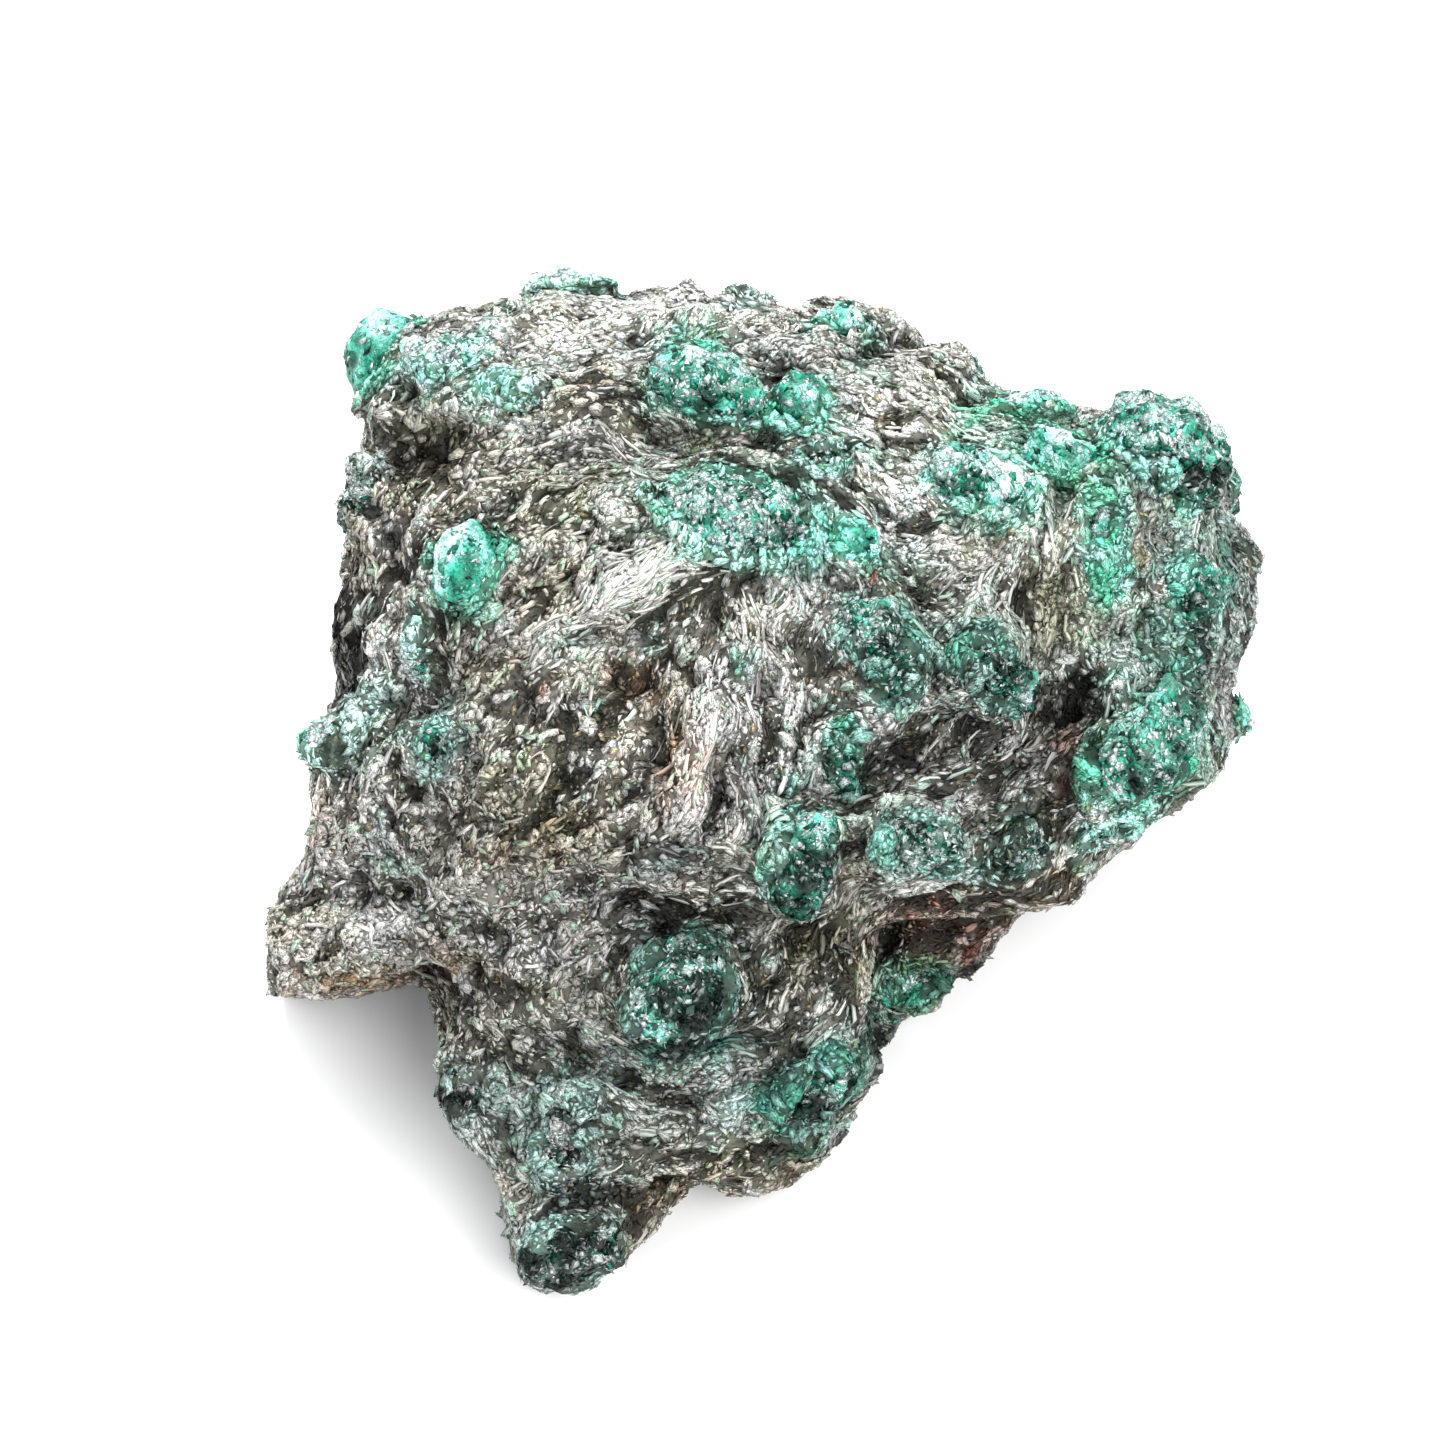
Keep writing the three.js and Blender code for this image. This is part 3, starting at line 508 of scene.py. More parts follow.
    (9.4, -1, 2.8, 2.4, 0, 0.6), (33.4, -1.6, 2.4, 2, 0, 0.6), (-39.6, -7, 2.6, 3, 0, 0.8),
    (15.2, -7, 2.8, 2.6, 0, 0.8), (39.4, -7.4, 2.6, 2.6, 0, 0.8), (3.4, -14.6, 2.8, 5, 0, 0.5),
    (33.4, -13.4, 3, 2.6, 0, 0.7), (-39, -19, 3.4, 2.8, 0, 0.7), (15, -25.4, 2.4, 2.6, 0, 0.8),
    (9.4, -30.6, 2.4, 2.6, 0, 0.7), (3.4, -37, 3, 2.4, 0, 0.6), (-16, -49.4, 3.4, 2.6, 0, 0.7)]),
    ("dark", [(-20.6, -7, 3, 2.8, 0, 0.35), (9, -6.6, 2.6, 2.4, 0, 0.35), (-27, -13.4, 3, 3, 0, 0.35),
    (-30, -25, 5, 2.6, 0, 0.35), (-14.6, -19.4, 3, 2.6, 0, 0.35), (27, -18.8, 3, 2.4, 30, 0.4),
    (51, 4.4, 2.6, 5, 0, 0.35), (3, -30.6, 2.6, 2.4, 0, 0.35), (15, 5.4, 2.6, 2.6, 0, 0.3),
    (51, 28.4, 2.4, 3.4, 0, 0.4)]), ("vivid", [(17.6, -28, 5.4, 1.3, 50, 0.8)]),
    ("frosty", [(21, -25.4, 2.4, 1, 50, 0.6)]), ("vivid", [(12.6, -34.6, 3, 1.2, 55, 0.7)]),
    ("dark", [(24.6, -24.6, 4, 1.4, 30, 0.5)]), ("pale", [(-7.4, 6, 2.2, 2.4, 0, 0.8),
    (-18, -2, 2.6, 2.2, 30, 0.6), (14.6, -25.6, 1.8, 2.4, 20, 0.6), (9.2, -31.4, 2, 2.2, 40, 0.6),
    (33.4, -13, 2.4, 1.2, 30, 0.6), (-21, -49, 1.6, 2.4, 0, 0.6), (-14.6, -49.6, 2.4, 1.4, 0, 0.6),
    (-3.4, 10.6, 2.4, 2.2, 0, 0.8), (17.4, 29.6, 4.4, 2.6, -30, 0.5), (-2.4, 30.4, 3.4, 1.6, 0, 0.5),
    (21.4, 23.4, 3, 2.4, 0, 0.7), (9.6, 16.4, 2.2, 2.4, 0, 0.6)]),
    ("dark", [(16, -31.8, 2, 3.4, -30, 0.5), (-14.6, -25.4, 3.2, 2.2, 0, 0.4),
    (10, -7.4, 2.4, 1.8, 0, 0.4), (45, -7.6, 3, 2.6, 40, 0.4), (20.4, -24.8, 3, 1.8, 30, 0.3),
    (52.4, 29, 1.6, 3.4, 0, 0.5), (51.6, 17, 2, 3.4, 0, 0.4), (39, -13, 2.4, 1.8, 30, 0.3),
    (22.6, 5, 4.4, 1.6, 0, 0.3), (-9.6, -31.6, 2.4, 2.2, 0, 0.35), (-6.6, -12.8, 5, 1.8, 0, 0.35),
    (-38, 7.4, 1.5, 4.6, 0, 0.95), (-6, -13.4, 7, 2.2, 0, 0.35), (-15, -9, 4.4, 4, 0, 0.22),
    (-27, -26, 5, 4, 0, 0.25), (15.4, -31.4, 2.4, 3, 0, 0.5), (1, -6, 3, 2, 0, 0.2),
    (-23.8, 7, 1.7, 1.5, 0, 0.5)]), ("rust", [(3.6, 2, 1.2, 0.9, 0, 0.3)]),
    ("green", [(1.6, 5.6, 0.9, 1.6, 0, 0.6), (-12.2, 1.6, 0.8, 1, 0, 0.6)]),
    ("frosty", [(6.8, -6.4, 1.2, 1.6, 0, 0.8)]), ("pale", [(20, 24, 6, 4, 0, 0.25),
    (-4, 41, 12, 3, 0, 0.2), (29, 18, 5, 3, 0, 0.25)]), ("brown", [(41, 17, 1.4, 3.4, 0, 0.6)]),
    ("vivid", [(37.6, 17, 1.2, 4, 0, 0.6), (33, 27, 2.6, 1.2, -10, 0.6),
    (37.6, -3.6, 1.6, 3, -30, 0.6)]), ("frosty", [(-23.6, 33, 3.4, 1.4, -24, 0.6)]),
    ("vivid", [(-23, 42.8, 1.6, 0.7, 30, 0.7)]),
]


# the skin of schist: lengths in mm, but the voxel in m
schist = {"voxel": 0.0005, "smooth": 8, "most": 196000, "seed": 11,
          "crystalGrow": 0.42, "sink": 1.0, "overlap": 1.5, "inset": 0.25, "lapWidth": 0.6, "coatMost": 1.2,
          "ragged": 2.4, "raggedSize": 3.0, "rim": 1.0, "rimAway": 0.3, "rimWidth": 1.6,
          "keepInset": 0.7, "keepWidth": 1.2, "keepLeast": 0.5, "footFade": 2.0,
          "lump": 1.7, "lumpSize": 6.0, "knob": 1.15, "knobSize": 2.8,
          "grain": 0.5, "grainSize": 1.2, "grainLeast": 0.5, "grainCalm": 0.5,
          "crack": 0.7, "crackWidth": 0.32, "crackPlaces": 9.0, "crackRise": 3, "crackLevel": 0.6,
          "streak": 0.2, "streakStep": 0.7, "streakSteps": 9, "streakCurve": 0.8, "streakCalm": 0.7,
          "band": 0.22, "bandStep": 1.6, "bandRounds": 14, "reliefRounds": 25,
          "endRise": 6, "endLevel": 0.25, "frontRise": 3, "frontLevel": 0.4,
          "edgeShare": 0.8, "edgeDrop": 0.4,
          "tone": (0.17, 0.167, 0.147), "darkTone": (0.014, 0.014, 0.01)}
glint = {"streak": 0.85, "band": 0.28, "cloud": 0.8, "cloudSize": 4.5, "crack": 0.8,
         "relief": 0.5, "reliefDepth": 0.5, "reliefRange": (-1.6, 0.8), "level": 0.5, "rise": 0.3}
haloes = {"level": 0.35, "sway": 2.4, "size": 3.4, "reach": 2.3,
          "contact": 1.2, "contactInset": 0.4, "contactWidth": 0.9, "contactReach": 2.5}


def crystalTriangles():
    corners, faces, centres, owners = [], [], [], []
    start = 0
    for i, name in enumerate(crystalNames):
        node = cadNodes[name]
        points = pointsOf(node)
        triangles = trianglesOf(node)
        corners.append(points)
        faces.append(triangles + start)
        centres.append(np.repeat(points.mean(0)[None], len(triangles), 0))
        owners.append(np.full(len(triangles), i))
        start += len(points)
    corners = np.concatenate(corners)
    faces = np.concatenate(faces)
    tree = BVHTree.FromPolygons(corners.tolist(), faces.tolist())
    return tree, np.concatenate(centres), np.concatenate(owners)


def treeOf(piece):
    return BVHTree.FromPolygons(pointsOf(piece).tolist(), trianglesOf(piece).tolist())


def setColours(piece, name, colours):
    attribute = piece.data.color_attributes.new(name, "FLOAT_COLOR", "POINT")
    values = np.ones((len(colours), 4), np.float32)
    values[:, :3] = colours
    attribute.data.foreach_set("color", values.ravel())


def tintShares(place):
    front = fadeBehind(place, "stains")
    shares = []
    for tint, run in patches:
        shares += [(tint, share * ovalWeight(place, *oval) * front) for *oval, share in run]
    return shares


staining = {"blotLevel": 0.95, "blotSway": 1.9, "blotSize": 1.9, "blotMost": 1.7, "blotKinds": 3,
            "earthLevel": 0.55, "earthSway": 1.9, "earthSize": 5.0, "frostSway": 0.9, "frostSize": 1.4,
            "greenLevel": 0.42, "greenRise": 1.1, "greenMost": 1.3, "haloShare": 0.9, "greyShare": 0.75}


# what the stains with their painted shade and light, the earthy film and the green round the crystals do to
# each point's tone
def stainLightAndShadeOf(place, halo, mint, coat):
    stain = np.ones((len(place), 3))
    blots = []
    for i in range(staining["blotKinds"]):
        blot = staining["blotLevel"] + staining["blotSway"] * cloud(place, staining["blotSize"], 31.0 + i)
        blots.append(np.clip(blot, 0, staining["blotMost"]))
    for i, (name, share) in enumerate(tintShares(toFace(place))):
        blot = blots[i % staining["blotKinds"]]
        stain *= 1 + np.clip(share * blot, 0, 1)[:, None] * (np.array(tints[name]) - 1)
    earth = staining["earthLevel"] + staining["earthSway"] * cloud(place, staining["earthSize"], 61.0)
    earth = np.clip(earth, 0, 1)[:, None] * (1 - halo[:, None])
    stain *= 1 + earth * (np.array(tints["earth"]) - 1)
    frost = coat + staining["frostSway"] * cloud(place, staining["frostSize"], 52.0)
    frost = np.clip(frost, 0, 1)[:, None]
    green = np.array(tints["vivid"]) * (1 - frost) + np.array(tints["frosty"]) * frost
    level = np.clip(staining["greenLevel"] + staining["greenRise"] * mint, 0, staining["greenMost"])
    green = green * level[:, None]
    halo = halo * (staining["haloShare"] - staining["greyShare"] * np.clip(coat - 1, 0, 1))
    return stain * (1 + halo[:, None] * (green - 1))


turning = {"start": 1.15, "width": 0.5}
thinning = {"level": 0.2, "fall": 0.3, "least": 0.1, "most": 0.4, "footHeight": 0.4, "factor": 4.0}


# how far a surface turns away, towards the outline of the display face
def turningAway(normals):
    return np.clip(turning["start"] - np.abs(normals @ outward) / turning["width"], 0, 1)


# fewer triangles, taken mostly from the underside and the back
def thinBeneath(piece, triangles):
    points, normals = pointsOf(piece), normalsOf(piece)
    facing = normals @ outward
    weights = np.clip(thinning["level"] - facing * thinning["fall"], thinning["least"], thinning["most"])
    weights[points[:, 2] < thinning["footHeight"]] = 1.0
    group = piece.vertex_groups.new(name="beneath")
    for level in np.linspace(0.1, 1.0, 10):
        members = np.nonzero(np.abs(weights - level) <= 0.05)[0]
        group.add(members.tolist(), float(level), "REPLACE")
    ratio = triangles / len(trianglesOf(piece))
    applyModifier(piece, "DECIMATE", ratio=ratio, vertex_group="beneath",
                  vertex_group_factor=thinning["factor"])
    piece.vertex_groups.clear()


# one closed skin over the matrix and a coat round each crystal
def joinCoats():
    skin = copyOfNode("schist_matrix", "schistSkin")
    coats = []
    for name in crystalNames:
        coat = copyOfNode(name, "coat")
        setPoints(coat, pointsOf(coat) + normalsOf(coat) * schist["crystalGrow"])
        coats.append(coat)
    selectOnly(skin)
    for coat in coats:
        coat.select_set(True)
    bpy.ops.object.join()
    applyModifier(skin, "REMESH", mode="VOXEL", voxel_size=schist["voxel"], adaptivity=0.0)
    applyModifier(skin, "SMOOTH", factor=0.5, iterations=schist["smooth"])
    print("schist skin", len(trianglesOf(skin)), "triangles at first")
    thinBeneath(skin, schist["most"])
    print("schist skin", len(skin.data.vertices), "points", len(trianglesOf(skin)), "triangles")
    return skin


# streaks and bands along the lay, granular places, cracks, and where the skin faces outward
def addTexture(rock):
    points, place, lay, edges = rock["points"], rock["place"], rock["lay"], rock["edges"]
    random = np.random.default_rng(schist["seed"])
    narrow = evenOut(random.normal(size=len(points)), edges, 1)
    rock["streak"] = spread(drawAlong(points, lay, narrow, schist["streakStep"], schist["streakSteps"]))
    wide = evenOut(random.normal(size=len(points)), edges, schist["bandRounds"])
    bandStep = schist["streakStep"] * schist["bandStep"]
    rock["band"] = spread(drawAlong(points, lay, wide, bandStep, schist["streakSteps"]))
    rock["grain"] = np.zeros(len(points))
    for oval in grainy:
        rock["grain"] = np.maximum(rock["grain"], ovalWeight(place, *oval, 0))
    cracked = cloud(points, schist["crackPlaces"], 4.0) * schist["crackRise"] + schist["crackLevel"]
    rock["cracks"] = np.exp(-(rock["band"] / schist["crackWidth"]) ** 2) * np.clip(cracked, 0, 1)
    rock["front"] = np.clip(rock["normals"] @ outward * schist["frontRise"] + schist["frontLevel"], 0, 1)


# how far each point of the skin stands out or in, in mm
def heightOf(rock):
    points, place, grain, onCrystal = rock["points"], rock["place"], rock["grain"], rock["onCrystal"]
    height = schist["lump"] * cloud(points, schist["lumpSize"], 2.0)
    height += schist["knob"] * cloud(points, schist["knobSize"], 5.0)
    calm = 1 - schist["streakCalm"] * grain
    height += schist["streak"] * np.tanh(rock["streak"] * schist["streakCurve"]) * calm
    calm = 1 - schist["grainCalm"] * grain
    height += schist["band"] * np.tanh(rock["band"]) * calm
    height -= schist["crack"] * rock["cracks"] * calm
    height += schist["grain"] * cloud(points, schist["grainSize"], 9.0) * (schist["grainLeast"] + grain)
    for path, width, lift in creases:
        far, share = distanceToPath(place, path)
        ends = np.clip(np.minimum(share, 1 - share) * schist["endRise"] + schist["endLevel"], 0, 1)
        height += lift * np.exp(-(far / width) ** 2) * ends * rock["front"]
    for *oval, lift in hollows:
        height += lift * ovalWeight(place, *oval) * rock["front"]
    height += schist["rim"] * np.exp(-((rock["away"] - schist["rimAway"]) / schist["rimWidth"]) ** 2)
    lowered = schist["edgeShare"] * np.maximum(height, 0) + schist["edgeDrop"]
    height -= turningAway(rock["normals"]) * lowered
    forward = fadeBehind(place, "bulges")
    for *oval, lift in bulges:
        height += lift * ovalWeight(place, *oval) * forward
    keep = np.clip((rock["away"] + schist["keepInset"]) / schist["keepWidth"], schist["keepLeast"], 1)
    height = height * keep * (1 - onCrystal) - schist["sink"] * onCrystal
    return height * np.clip(points[:, 2] / schist["footFade"], 0, 1)


# how much silver mica a point has and how light its tone is: streaks, the listed places, and relief, which
# paints light on ridges and shade in hollows
def shineOf(rock, relief):
    shine = glint["streak"] * rock["streak"] + glint["band"] * rock["band"]
    shine = shine + glint["cloud"] * cloud(rock["points"], glint["cloudSize"], 12.0)
    shine = shine - glint["crack"] * rock["cracks"]
    # ridges get painted light and hollows painted shade
    shine += glint["relief"] * np.clip(relief, *glint["reliefRange"])
    for *oval, amount in lustreLightAndShade:
        shine += amount * ovalWeight(rock["place"], *oval) * rock["front"]
    return shine


# how green the schist is round the crystals
def haloOf(rock, toRock):
    away = rock["away"]
    halo = np.clip(haloes["level"] + haloes["sway"] * cloud(rock["points"], haloes["size"], 17.0), 0, 1)
    halo = halo * np.exp(-(away / haloes["reach"]) ** 2)
    beyond = (away - toRock + haloes["contactInset"]) / haloes["contactWidth"]
    touching = np.clip(haloes["contact"] - beyond, 0, 1) * (away < haloes["contactReach"])
    return np.maximum(halo, touching)


def growSchist():
    skin = joinCoats()
    points, normals = pointsOf(skin), normalsOf(skin)
    rock = {"points": points, "normals": normals, "place": toFace(points), "edges": edgesOf(skin)}
    rock["lay"], rock["away"], owner = layOfMica(points, normals, rock["place"], *crystalTriangles())
    looks = np.array([lookOf(name) for name in crystalNames])
    mint, coat = looks[owner].T
    matrixTree = treeOf(cadNodes["schist_matrix"])
    toRock = np.array([matrixTree.find_nearest(Vector(point))[3] for point in points])
    lap = schist["ragged"] * cloud(points, schist["raggedSize"], 7.0)
    hidden = schist["overlap"] * np.minimum(coat, schist["coatMost"])
    covered = (toRock - rock["away"] - schist["inset"] - hidden + lap) / schist["lapWidth"]
    rock["onCrystal"] = np.clip(covered, 0, 1)
    print("lay of the mica found")

    addTexture(rock)
    height = heightOf(rock)
    moved = points + normals * height[:, None]
    moved[:, 2] = np.maximum(moved[:, 2], 0)
    setPoints(skin, moved)
    print("relief of the schist set")

    # the relief against the neighbours paints light on ridges and shade in hollows into the schist's tone
    relief = (height - evenOut(height, rock["edges"], schist["reliefRounds"])) / glint["reliefDepth"]
    # how deep each point lies in a hollow, for painted shade on the flakes there
    rock["sunk"] = np.clip(-relief, 0, 1) * (1 - rock["onCrystal"])
    rock["shine"] = shineOf(rock, relief)
    rock["stain"] = stainLightAndShadeOf(points, haloOf(rock, toRock), mint, coat)
    dark, light = np.array(schist["darkTone"]), np.array(schist["tone"])
    level = np.clip(glint["level"] + glint["rise"] * rock["shine"], 0, 1)
    setColours(skin, "ground", (dark + level[:, None] * (light - dark)) * rock["stain"])
    rock["points"], rock["normals"] = moved, normalsOf(skin)
    rock["triangles"], rock["tree"] = trianglesOf(skin), treeOfPoints(moved)
    return skin, rock


def newMaterial(name):
    paint = bpy.data.materials.new(name)
    paint.use_nodes = True
    nodes = paint.node_tree.nodes
    return paint, nodes, paint.node_tree.links, nodes["Principled BSDF"]


def addAttribute(nodes, name):
    attribute = nodes.new("ShaderNodeAttribute")
    attribute.attribute_name = name
    return attribute


def addNoise(nodes, links, coordinates, scale, detail=4.0, roughness=0.6):
    texture = nodes.new("ShaderNodeTexNoise")
    texture.inputs["Scale"].default_value = scale
    texture.inputs["Detail"].default_value = detail
    texture.inputs["Roughness"].default_value = roughness
    links.new(coordinates.outputs["Object"], texture.inputs["Vector"])
    return texture


def addRange(nodes, links, source, low, high):
    ranged = nodes.new("ShaderNodeMapRange")
    ranged.inputs["To Min"].default_value = low
    ranged.inputs["To Max"].default_value = high
    links.new(source, ranged.inputs["Value"])
    return ranged.outputs["Result"]


def addMix(nodes, links, kind, factor, first, second):
    mix = nodes.new("ShaderNodeMix")
    mix.data_type = "RGBA"
    mix.blend_type = kind
    mix.inputs["Factor"].default_value = factor
    links.new(first, mix.inputs[6])
    links.new(second, mix.inputs[7])
    return mix


def addBump(nodes, links, height, shader, distance, strength):
    bump = nodes.new("ShaderNodeBump")
    bump.inputs["Strength"].default_value = strength
    bump.inputs["Distance"].default_value = distance
    links.new(height, bump.inputs["Height"])
    links.new(bump.outputs["Normal"], shader.inputs["Normal"])


schistWork = {"gritScale": 1500.0, "gritShade": (0.1, 1.9), "rough": (0.35, 0.75), "specular": 0.15,
              "bumpHeight": 0.0004, "bump": 0.7}


def schistMaterial():
    paint, nodes, links, shader = newMaterial("schistGround")
    coordinates = nodes.new("ShaderNodeTexCoord")
    ground = addAttribute(nodes, "ground")
    grit = addNoise(nodes, links, coordinates, schistWork["gritScale"], detail=5.0, roughness=0.7)
    shade = addRange(nodes, links, grit.outputs["Fac"], *schistWork["gritShade"])
    mix = addMix(nodes, links, "MULTIPLY", 1.0, ground.outputs["Color"], shade)
    links.new(mix.outputs[2], shader.inputs["Base Color"])
    rough = addRange(nodes, links, grit.outputs["Fac"], *schistWork["rough"])
    links.new(rough, shader.inputs["Roughness"])
    shader.inputs["Specular IOR Level"].default_value = schistWork["specular"]
    addBump(nodes, links, grit.outputs["Fac"], shader, schistWork["bumpHeight"], schistWork["bump"])
    return paint


def addMath(nodes, links, kind, first, second):
    step = nodes.new("ShaderNodeMath")
    step.operation = kind
    for socket, value in zip(step.inputs, (first, second)):
        if isinstance(value, (int, float)):
            socket.default_value = value
        elif value is not None:
            links.new(value, socket)
    return step.outputs[0]


# dark lines where a noise crosses its middle value
def addLines(nodes, links, source, width, low, high):
    off = addMath(nodes, links, "ABSOLUTE", addMath(nodes, links, "SUBTRACT", source, 0.5), None)
    ranged = nodes.new("ShaderNodeMapRange")
    ranged.inputs["From Max"].default_value = width
    ranged.inputs["To Min"].default_value = low
    ranged.inputs["To Max"].default_value = high
    links.new(off, ranged.inputs["Value"])
    return ranged.outputs["Result"]


flakeWork = {"along": 1.7, "across": 3.8, "threadDetail": 3.0, "lineWidth": 0.07, "lineTone": 0.15,
             "faceTone": 1.25, "rimStart": 0.7, "rimTone": 0.32, "specular": 0.22,
             "bumpHeight": 0.0001, "bump": 0.5}


def flakeMaterial(name, metallic, roughLow, roughHigh):
    paint, nodes, links, shader = newMaterial(name)
    tone = addAttribute(nodes, "tone")
    pattern = addAttribute(nodes, "pattern")
    stretch = nodes.new("ShaderNodeVectorMath")
    stretch.operation = "MULTIPLY"
    stretch.inputs[1].default_value = (flakeWork["along"], flakeWork["across"], 1.0)
    links.new(pattern.outputs["Vector"], stretch.inputs[0])
    threads = nodes.new("ShaderNodeTexNoise")
    threads.inputs["Scale"].default_value = 1.0
    threads.inputs["Detail"].default_value = flakeWork["threadDetail"]
    links.new(stretch.outputs["Vector"], threads.inputs["Vector"])
    lines = addLines(nodes, links, threads.outputs["Fac"], flakeWork["lineWidth"], flakeWork["lineTone"],
                     flakeWork["faceTone"])
    split = nodes.new("ShaderNodeSeparateXYZ")
    links.new(pattern.outputs["Vector"], split.inputs[0])
    far = addMath(nodes, links, "ADD", addMath(nodes, links, "ABSOLUTE", split.outputs[0], None),
                  addMath(nodes, links, "ABSOLUTE", split.outputs[1], None))
    # darker towards the rim of each flake: painted shade between flakes
    rim = nodes.new("ShaderNodeMapRange")
    rim.inputs["From Min"].default_value = flakeWork["rimStart"]
    rim.inputs["To Min"].default_value = 1.0
    rim.inputs["To Max"].default_value = flakeWork["rimTone"]
    links.new(far, rim.inputs["Value"])
    lined = addMix(nodes, links, "MULTIPLY", 1.0, tone.outputs["Color"],
                   addMath(nodes, links, "MULTIPLY", lines, rim.outputs["Result"]))
    links.new(lined.outputs[2], shader.inputs["Base Color"])
    rough = addRange(nodes, links, threads.outputs["Fac"], roughLow, roughHigh)
    links.new(rough, shader.inputs["Roughness"])
    shader.inputs["Metallic"].default_value = metallic
    shader.inputs["Specular IOR Level"].default_value = flakeWork["specular"]
    addBump(nodes, links, threads.outputs["Fac"], shader, flakeWork["bumpHeight"], flakeWork["bump"])
    return paint


emeraldWork = {"veinScale": 1100.0, "veinBend": 1.2, "veinWidth": 0.09, "veinTone": 0.3, "faceTone": 1.35,
               "veilScale": 700.0, "veilBend": 2.6, "veilHalf": 0.035, "veilShare": 0.5,
               "milk": (3.2, 1.9, 2.2), "rough": (0.15, 0.6), "ior": 1.57, "specular": 0.12,
               "bumpHeight": 0.0002, "bump": 0.6}


def emeraldMaterial():
    paint, nodes, links, shader = newMaterial("emeraldCrystal")
    coordinates = nodes.new("ShaderNodeTexCoord")
    tone = addAttribute(nodes, "tone")
    vein = addNoise(nodes, links, coordinates, emeraldWork["veinScale"], detail=5.0, roughness=0.65)
    vein.inputs["Distortion"].default_value = emeraldWork["veinBend"]
    shade = addLines(nodes, links, vein.outputs["Fac"], emeraldWork["veinWidth"], emeraldWork["veinTone"],
                     emeraldWork["faceTone"])
    mottled = addMix(nodes, links, "MULTIPLY", 1.0, tone.outputs["Color"], shade)
    veil = addNoise(nodes, links, coordinates, emeraldWork["veilScale"], detail=3.0)
    veil.inputs["Distortion"].default_value = emeraldWork["veilBend"]
    threads = nodes.new("ShaderNodeValToRGB")
    stops = threads.color_ramp.elements
    stops[0].position = 0.5 - emeraldWork["veilHalf"]
    stops[0].color = (0, 0, 0, 1)
    stops[1].position = 0.5 + emeraldWork["veilHalf"]
    stops[1].color = (0, 0, 0, 1)
    middle = stops.new(0.5)
    middle.color = (*[emeraldWork["veilShare"]] * 3, 1)
    links.new(veil.outputs["Fac"], threads.inputs["Fac"])
    lighter = nodes.new("ShaderNodeMix")
    lighter.data_type = "RGBA"
    lighter.blend_type = "MULTIPLY"
    lighter.clamp_result = True
    lighter.inputs["Factor"].default_value = 1.0
    lighter.inputs[7].default_value = (*emeraldWork["milk"], 1)
    links.new(tone.outputs["Color"], lighter.inputs[6])
    milky = nodes.new("ShaderNodeMix")
    milky.data_type = "RGBA"
    links.new(threads.outputs["Color"], milky.inputs[0])
    links.new(mottled.outputs[2], milky.inputs[6])
    links.new(lighter.outputs[2], milky.inputs[7])
    links.new(milky.outputs[2], shader.inputs["Base Color"])
    rough = addRange(nodes, links, vein.outputs["Fac"], *emeraldWork["rough"])
    links.new(rough, shader.inputs["Roughness"])
    shader.inputs["IOR"].default_value = emeraldWork["ior"]
    shader.inputs["Specular IOR Level"].default_value = emeraldWork["specular"]
    addBump(nodes, links, vein.outputs["Fac"], shader, emeraldWork["bumpHeight"], emeraldWork["bump"])
    return paint


def doubleAreas(surface):
    corners = surface["points"][surface["triangles"]]
    return np.linalg.norm(np.cross(corners[:, 1] - corners[:, 0], corners[:, 2] - corners[:, 0]), axis=1)


# spots on a surface, by area and weight, with the normal and the nearest point of each
def scatter(ground, weights, count, random):
    chance = doubleAreas(ground) * weights[ground["triangles"]].mean(1)
    picked = random.choice(len(chance), count, p=chance / chance.sum())
    a, b = random.random(count), random.random(count)
    over = a + b > 1
    a[over], b[over] = 1 - a[over], 1 - b[over]
    share = np.stack([1 - a - b, a, b], 1)
    members = ground["triangles"][picked]
    place = (ground["points"][members] * share[:, :, None]).sum(1)
    normal = unit((ground["normals"][members] * share[:, :, None]).sum(1))
    nearest = members[np.arange(count), share.argmax(1)]
    return place, normal, nearest


def turned(vectors, axis, angle):
    cosine = np.cos(angle)[:, None]
    sine = np.sin(angle)[:, None]
    return vectors * cosine + np.cross(axis, vectors) * sine


# where each corner of a flake lies in its own pattern, so that its rim can be darkened with painted shade
# between flakes
rims = {3: [(1, 0), (0, 1), (0, -1)], 4: [(1, 0), (0, 1), (-1, 0), (0, -1)],
        5: [(1, 0), (0.25, 0.75), (-0.6, 0.4), (-0.6, -0.4), (0.25, -0.75)]}


def buildPiece(name, corners, faces, pattern, colours, material):
    loops = np.concatenate([face.ravel() for face in faces])
    sizes = np.concatenate([np.full(len(face), face.shape[1]) for face in faces])
    starts = np.concatenate([[0], np.cumsum(sizes)[:-1]])
    mesh = bpy.data.meshes.new(name)
    mesh.vertices.add(len(corners))
    mesh.vertices.foreach_set("co", (corners * mm).ravel())
    mesh.loops.add(len(loops))
    mesh.loops.foreach_set("vertex_index", loops)
    mesh.polygons.add(len(starts))
    mesh.polygons.foreach_set("loop_start", starts)
    mesh.update(calc_edges=True)
    piece = bpy.data.objects.new(name, mesh)
    bpy.context.scene.collection.objects.link(piece)
    setColours(piece, "tone", colours)
    threads = mesh.attributes.new("pattern", "FLOAT_VECTOR", "POINT")
    threads.data.foreach_set("vector", pattern.astype(np.float32).ravel())
    mesh.materials.append(material)
    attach(piece, "root")
    mesh.calc_loop_triangles()
    print(name, len(mesh.loop_triangles), "triangles")
    return piece


flakeShape = {"edgeCalm": 0.65, "longAreRare": 1.7, "widthPlain": 0.7, "widthByLength": 0.3,
              "cornerSway": 0.28, "cornerReach": (0.75, 1.15), "floor": 0.02, "patterns": 500}


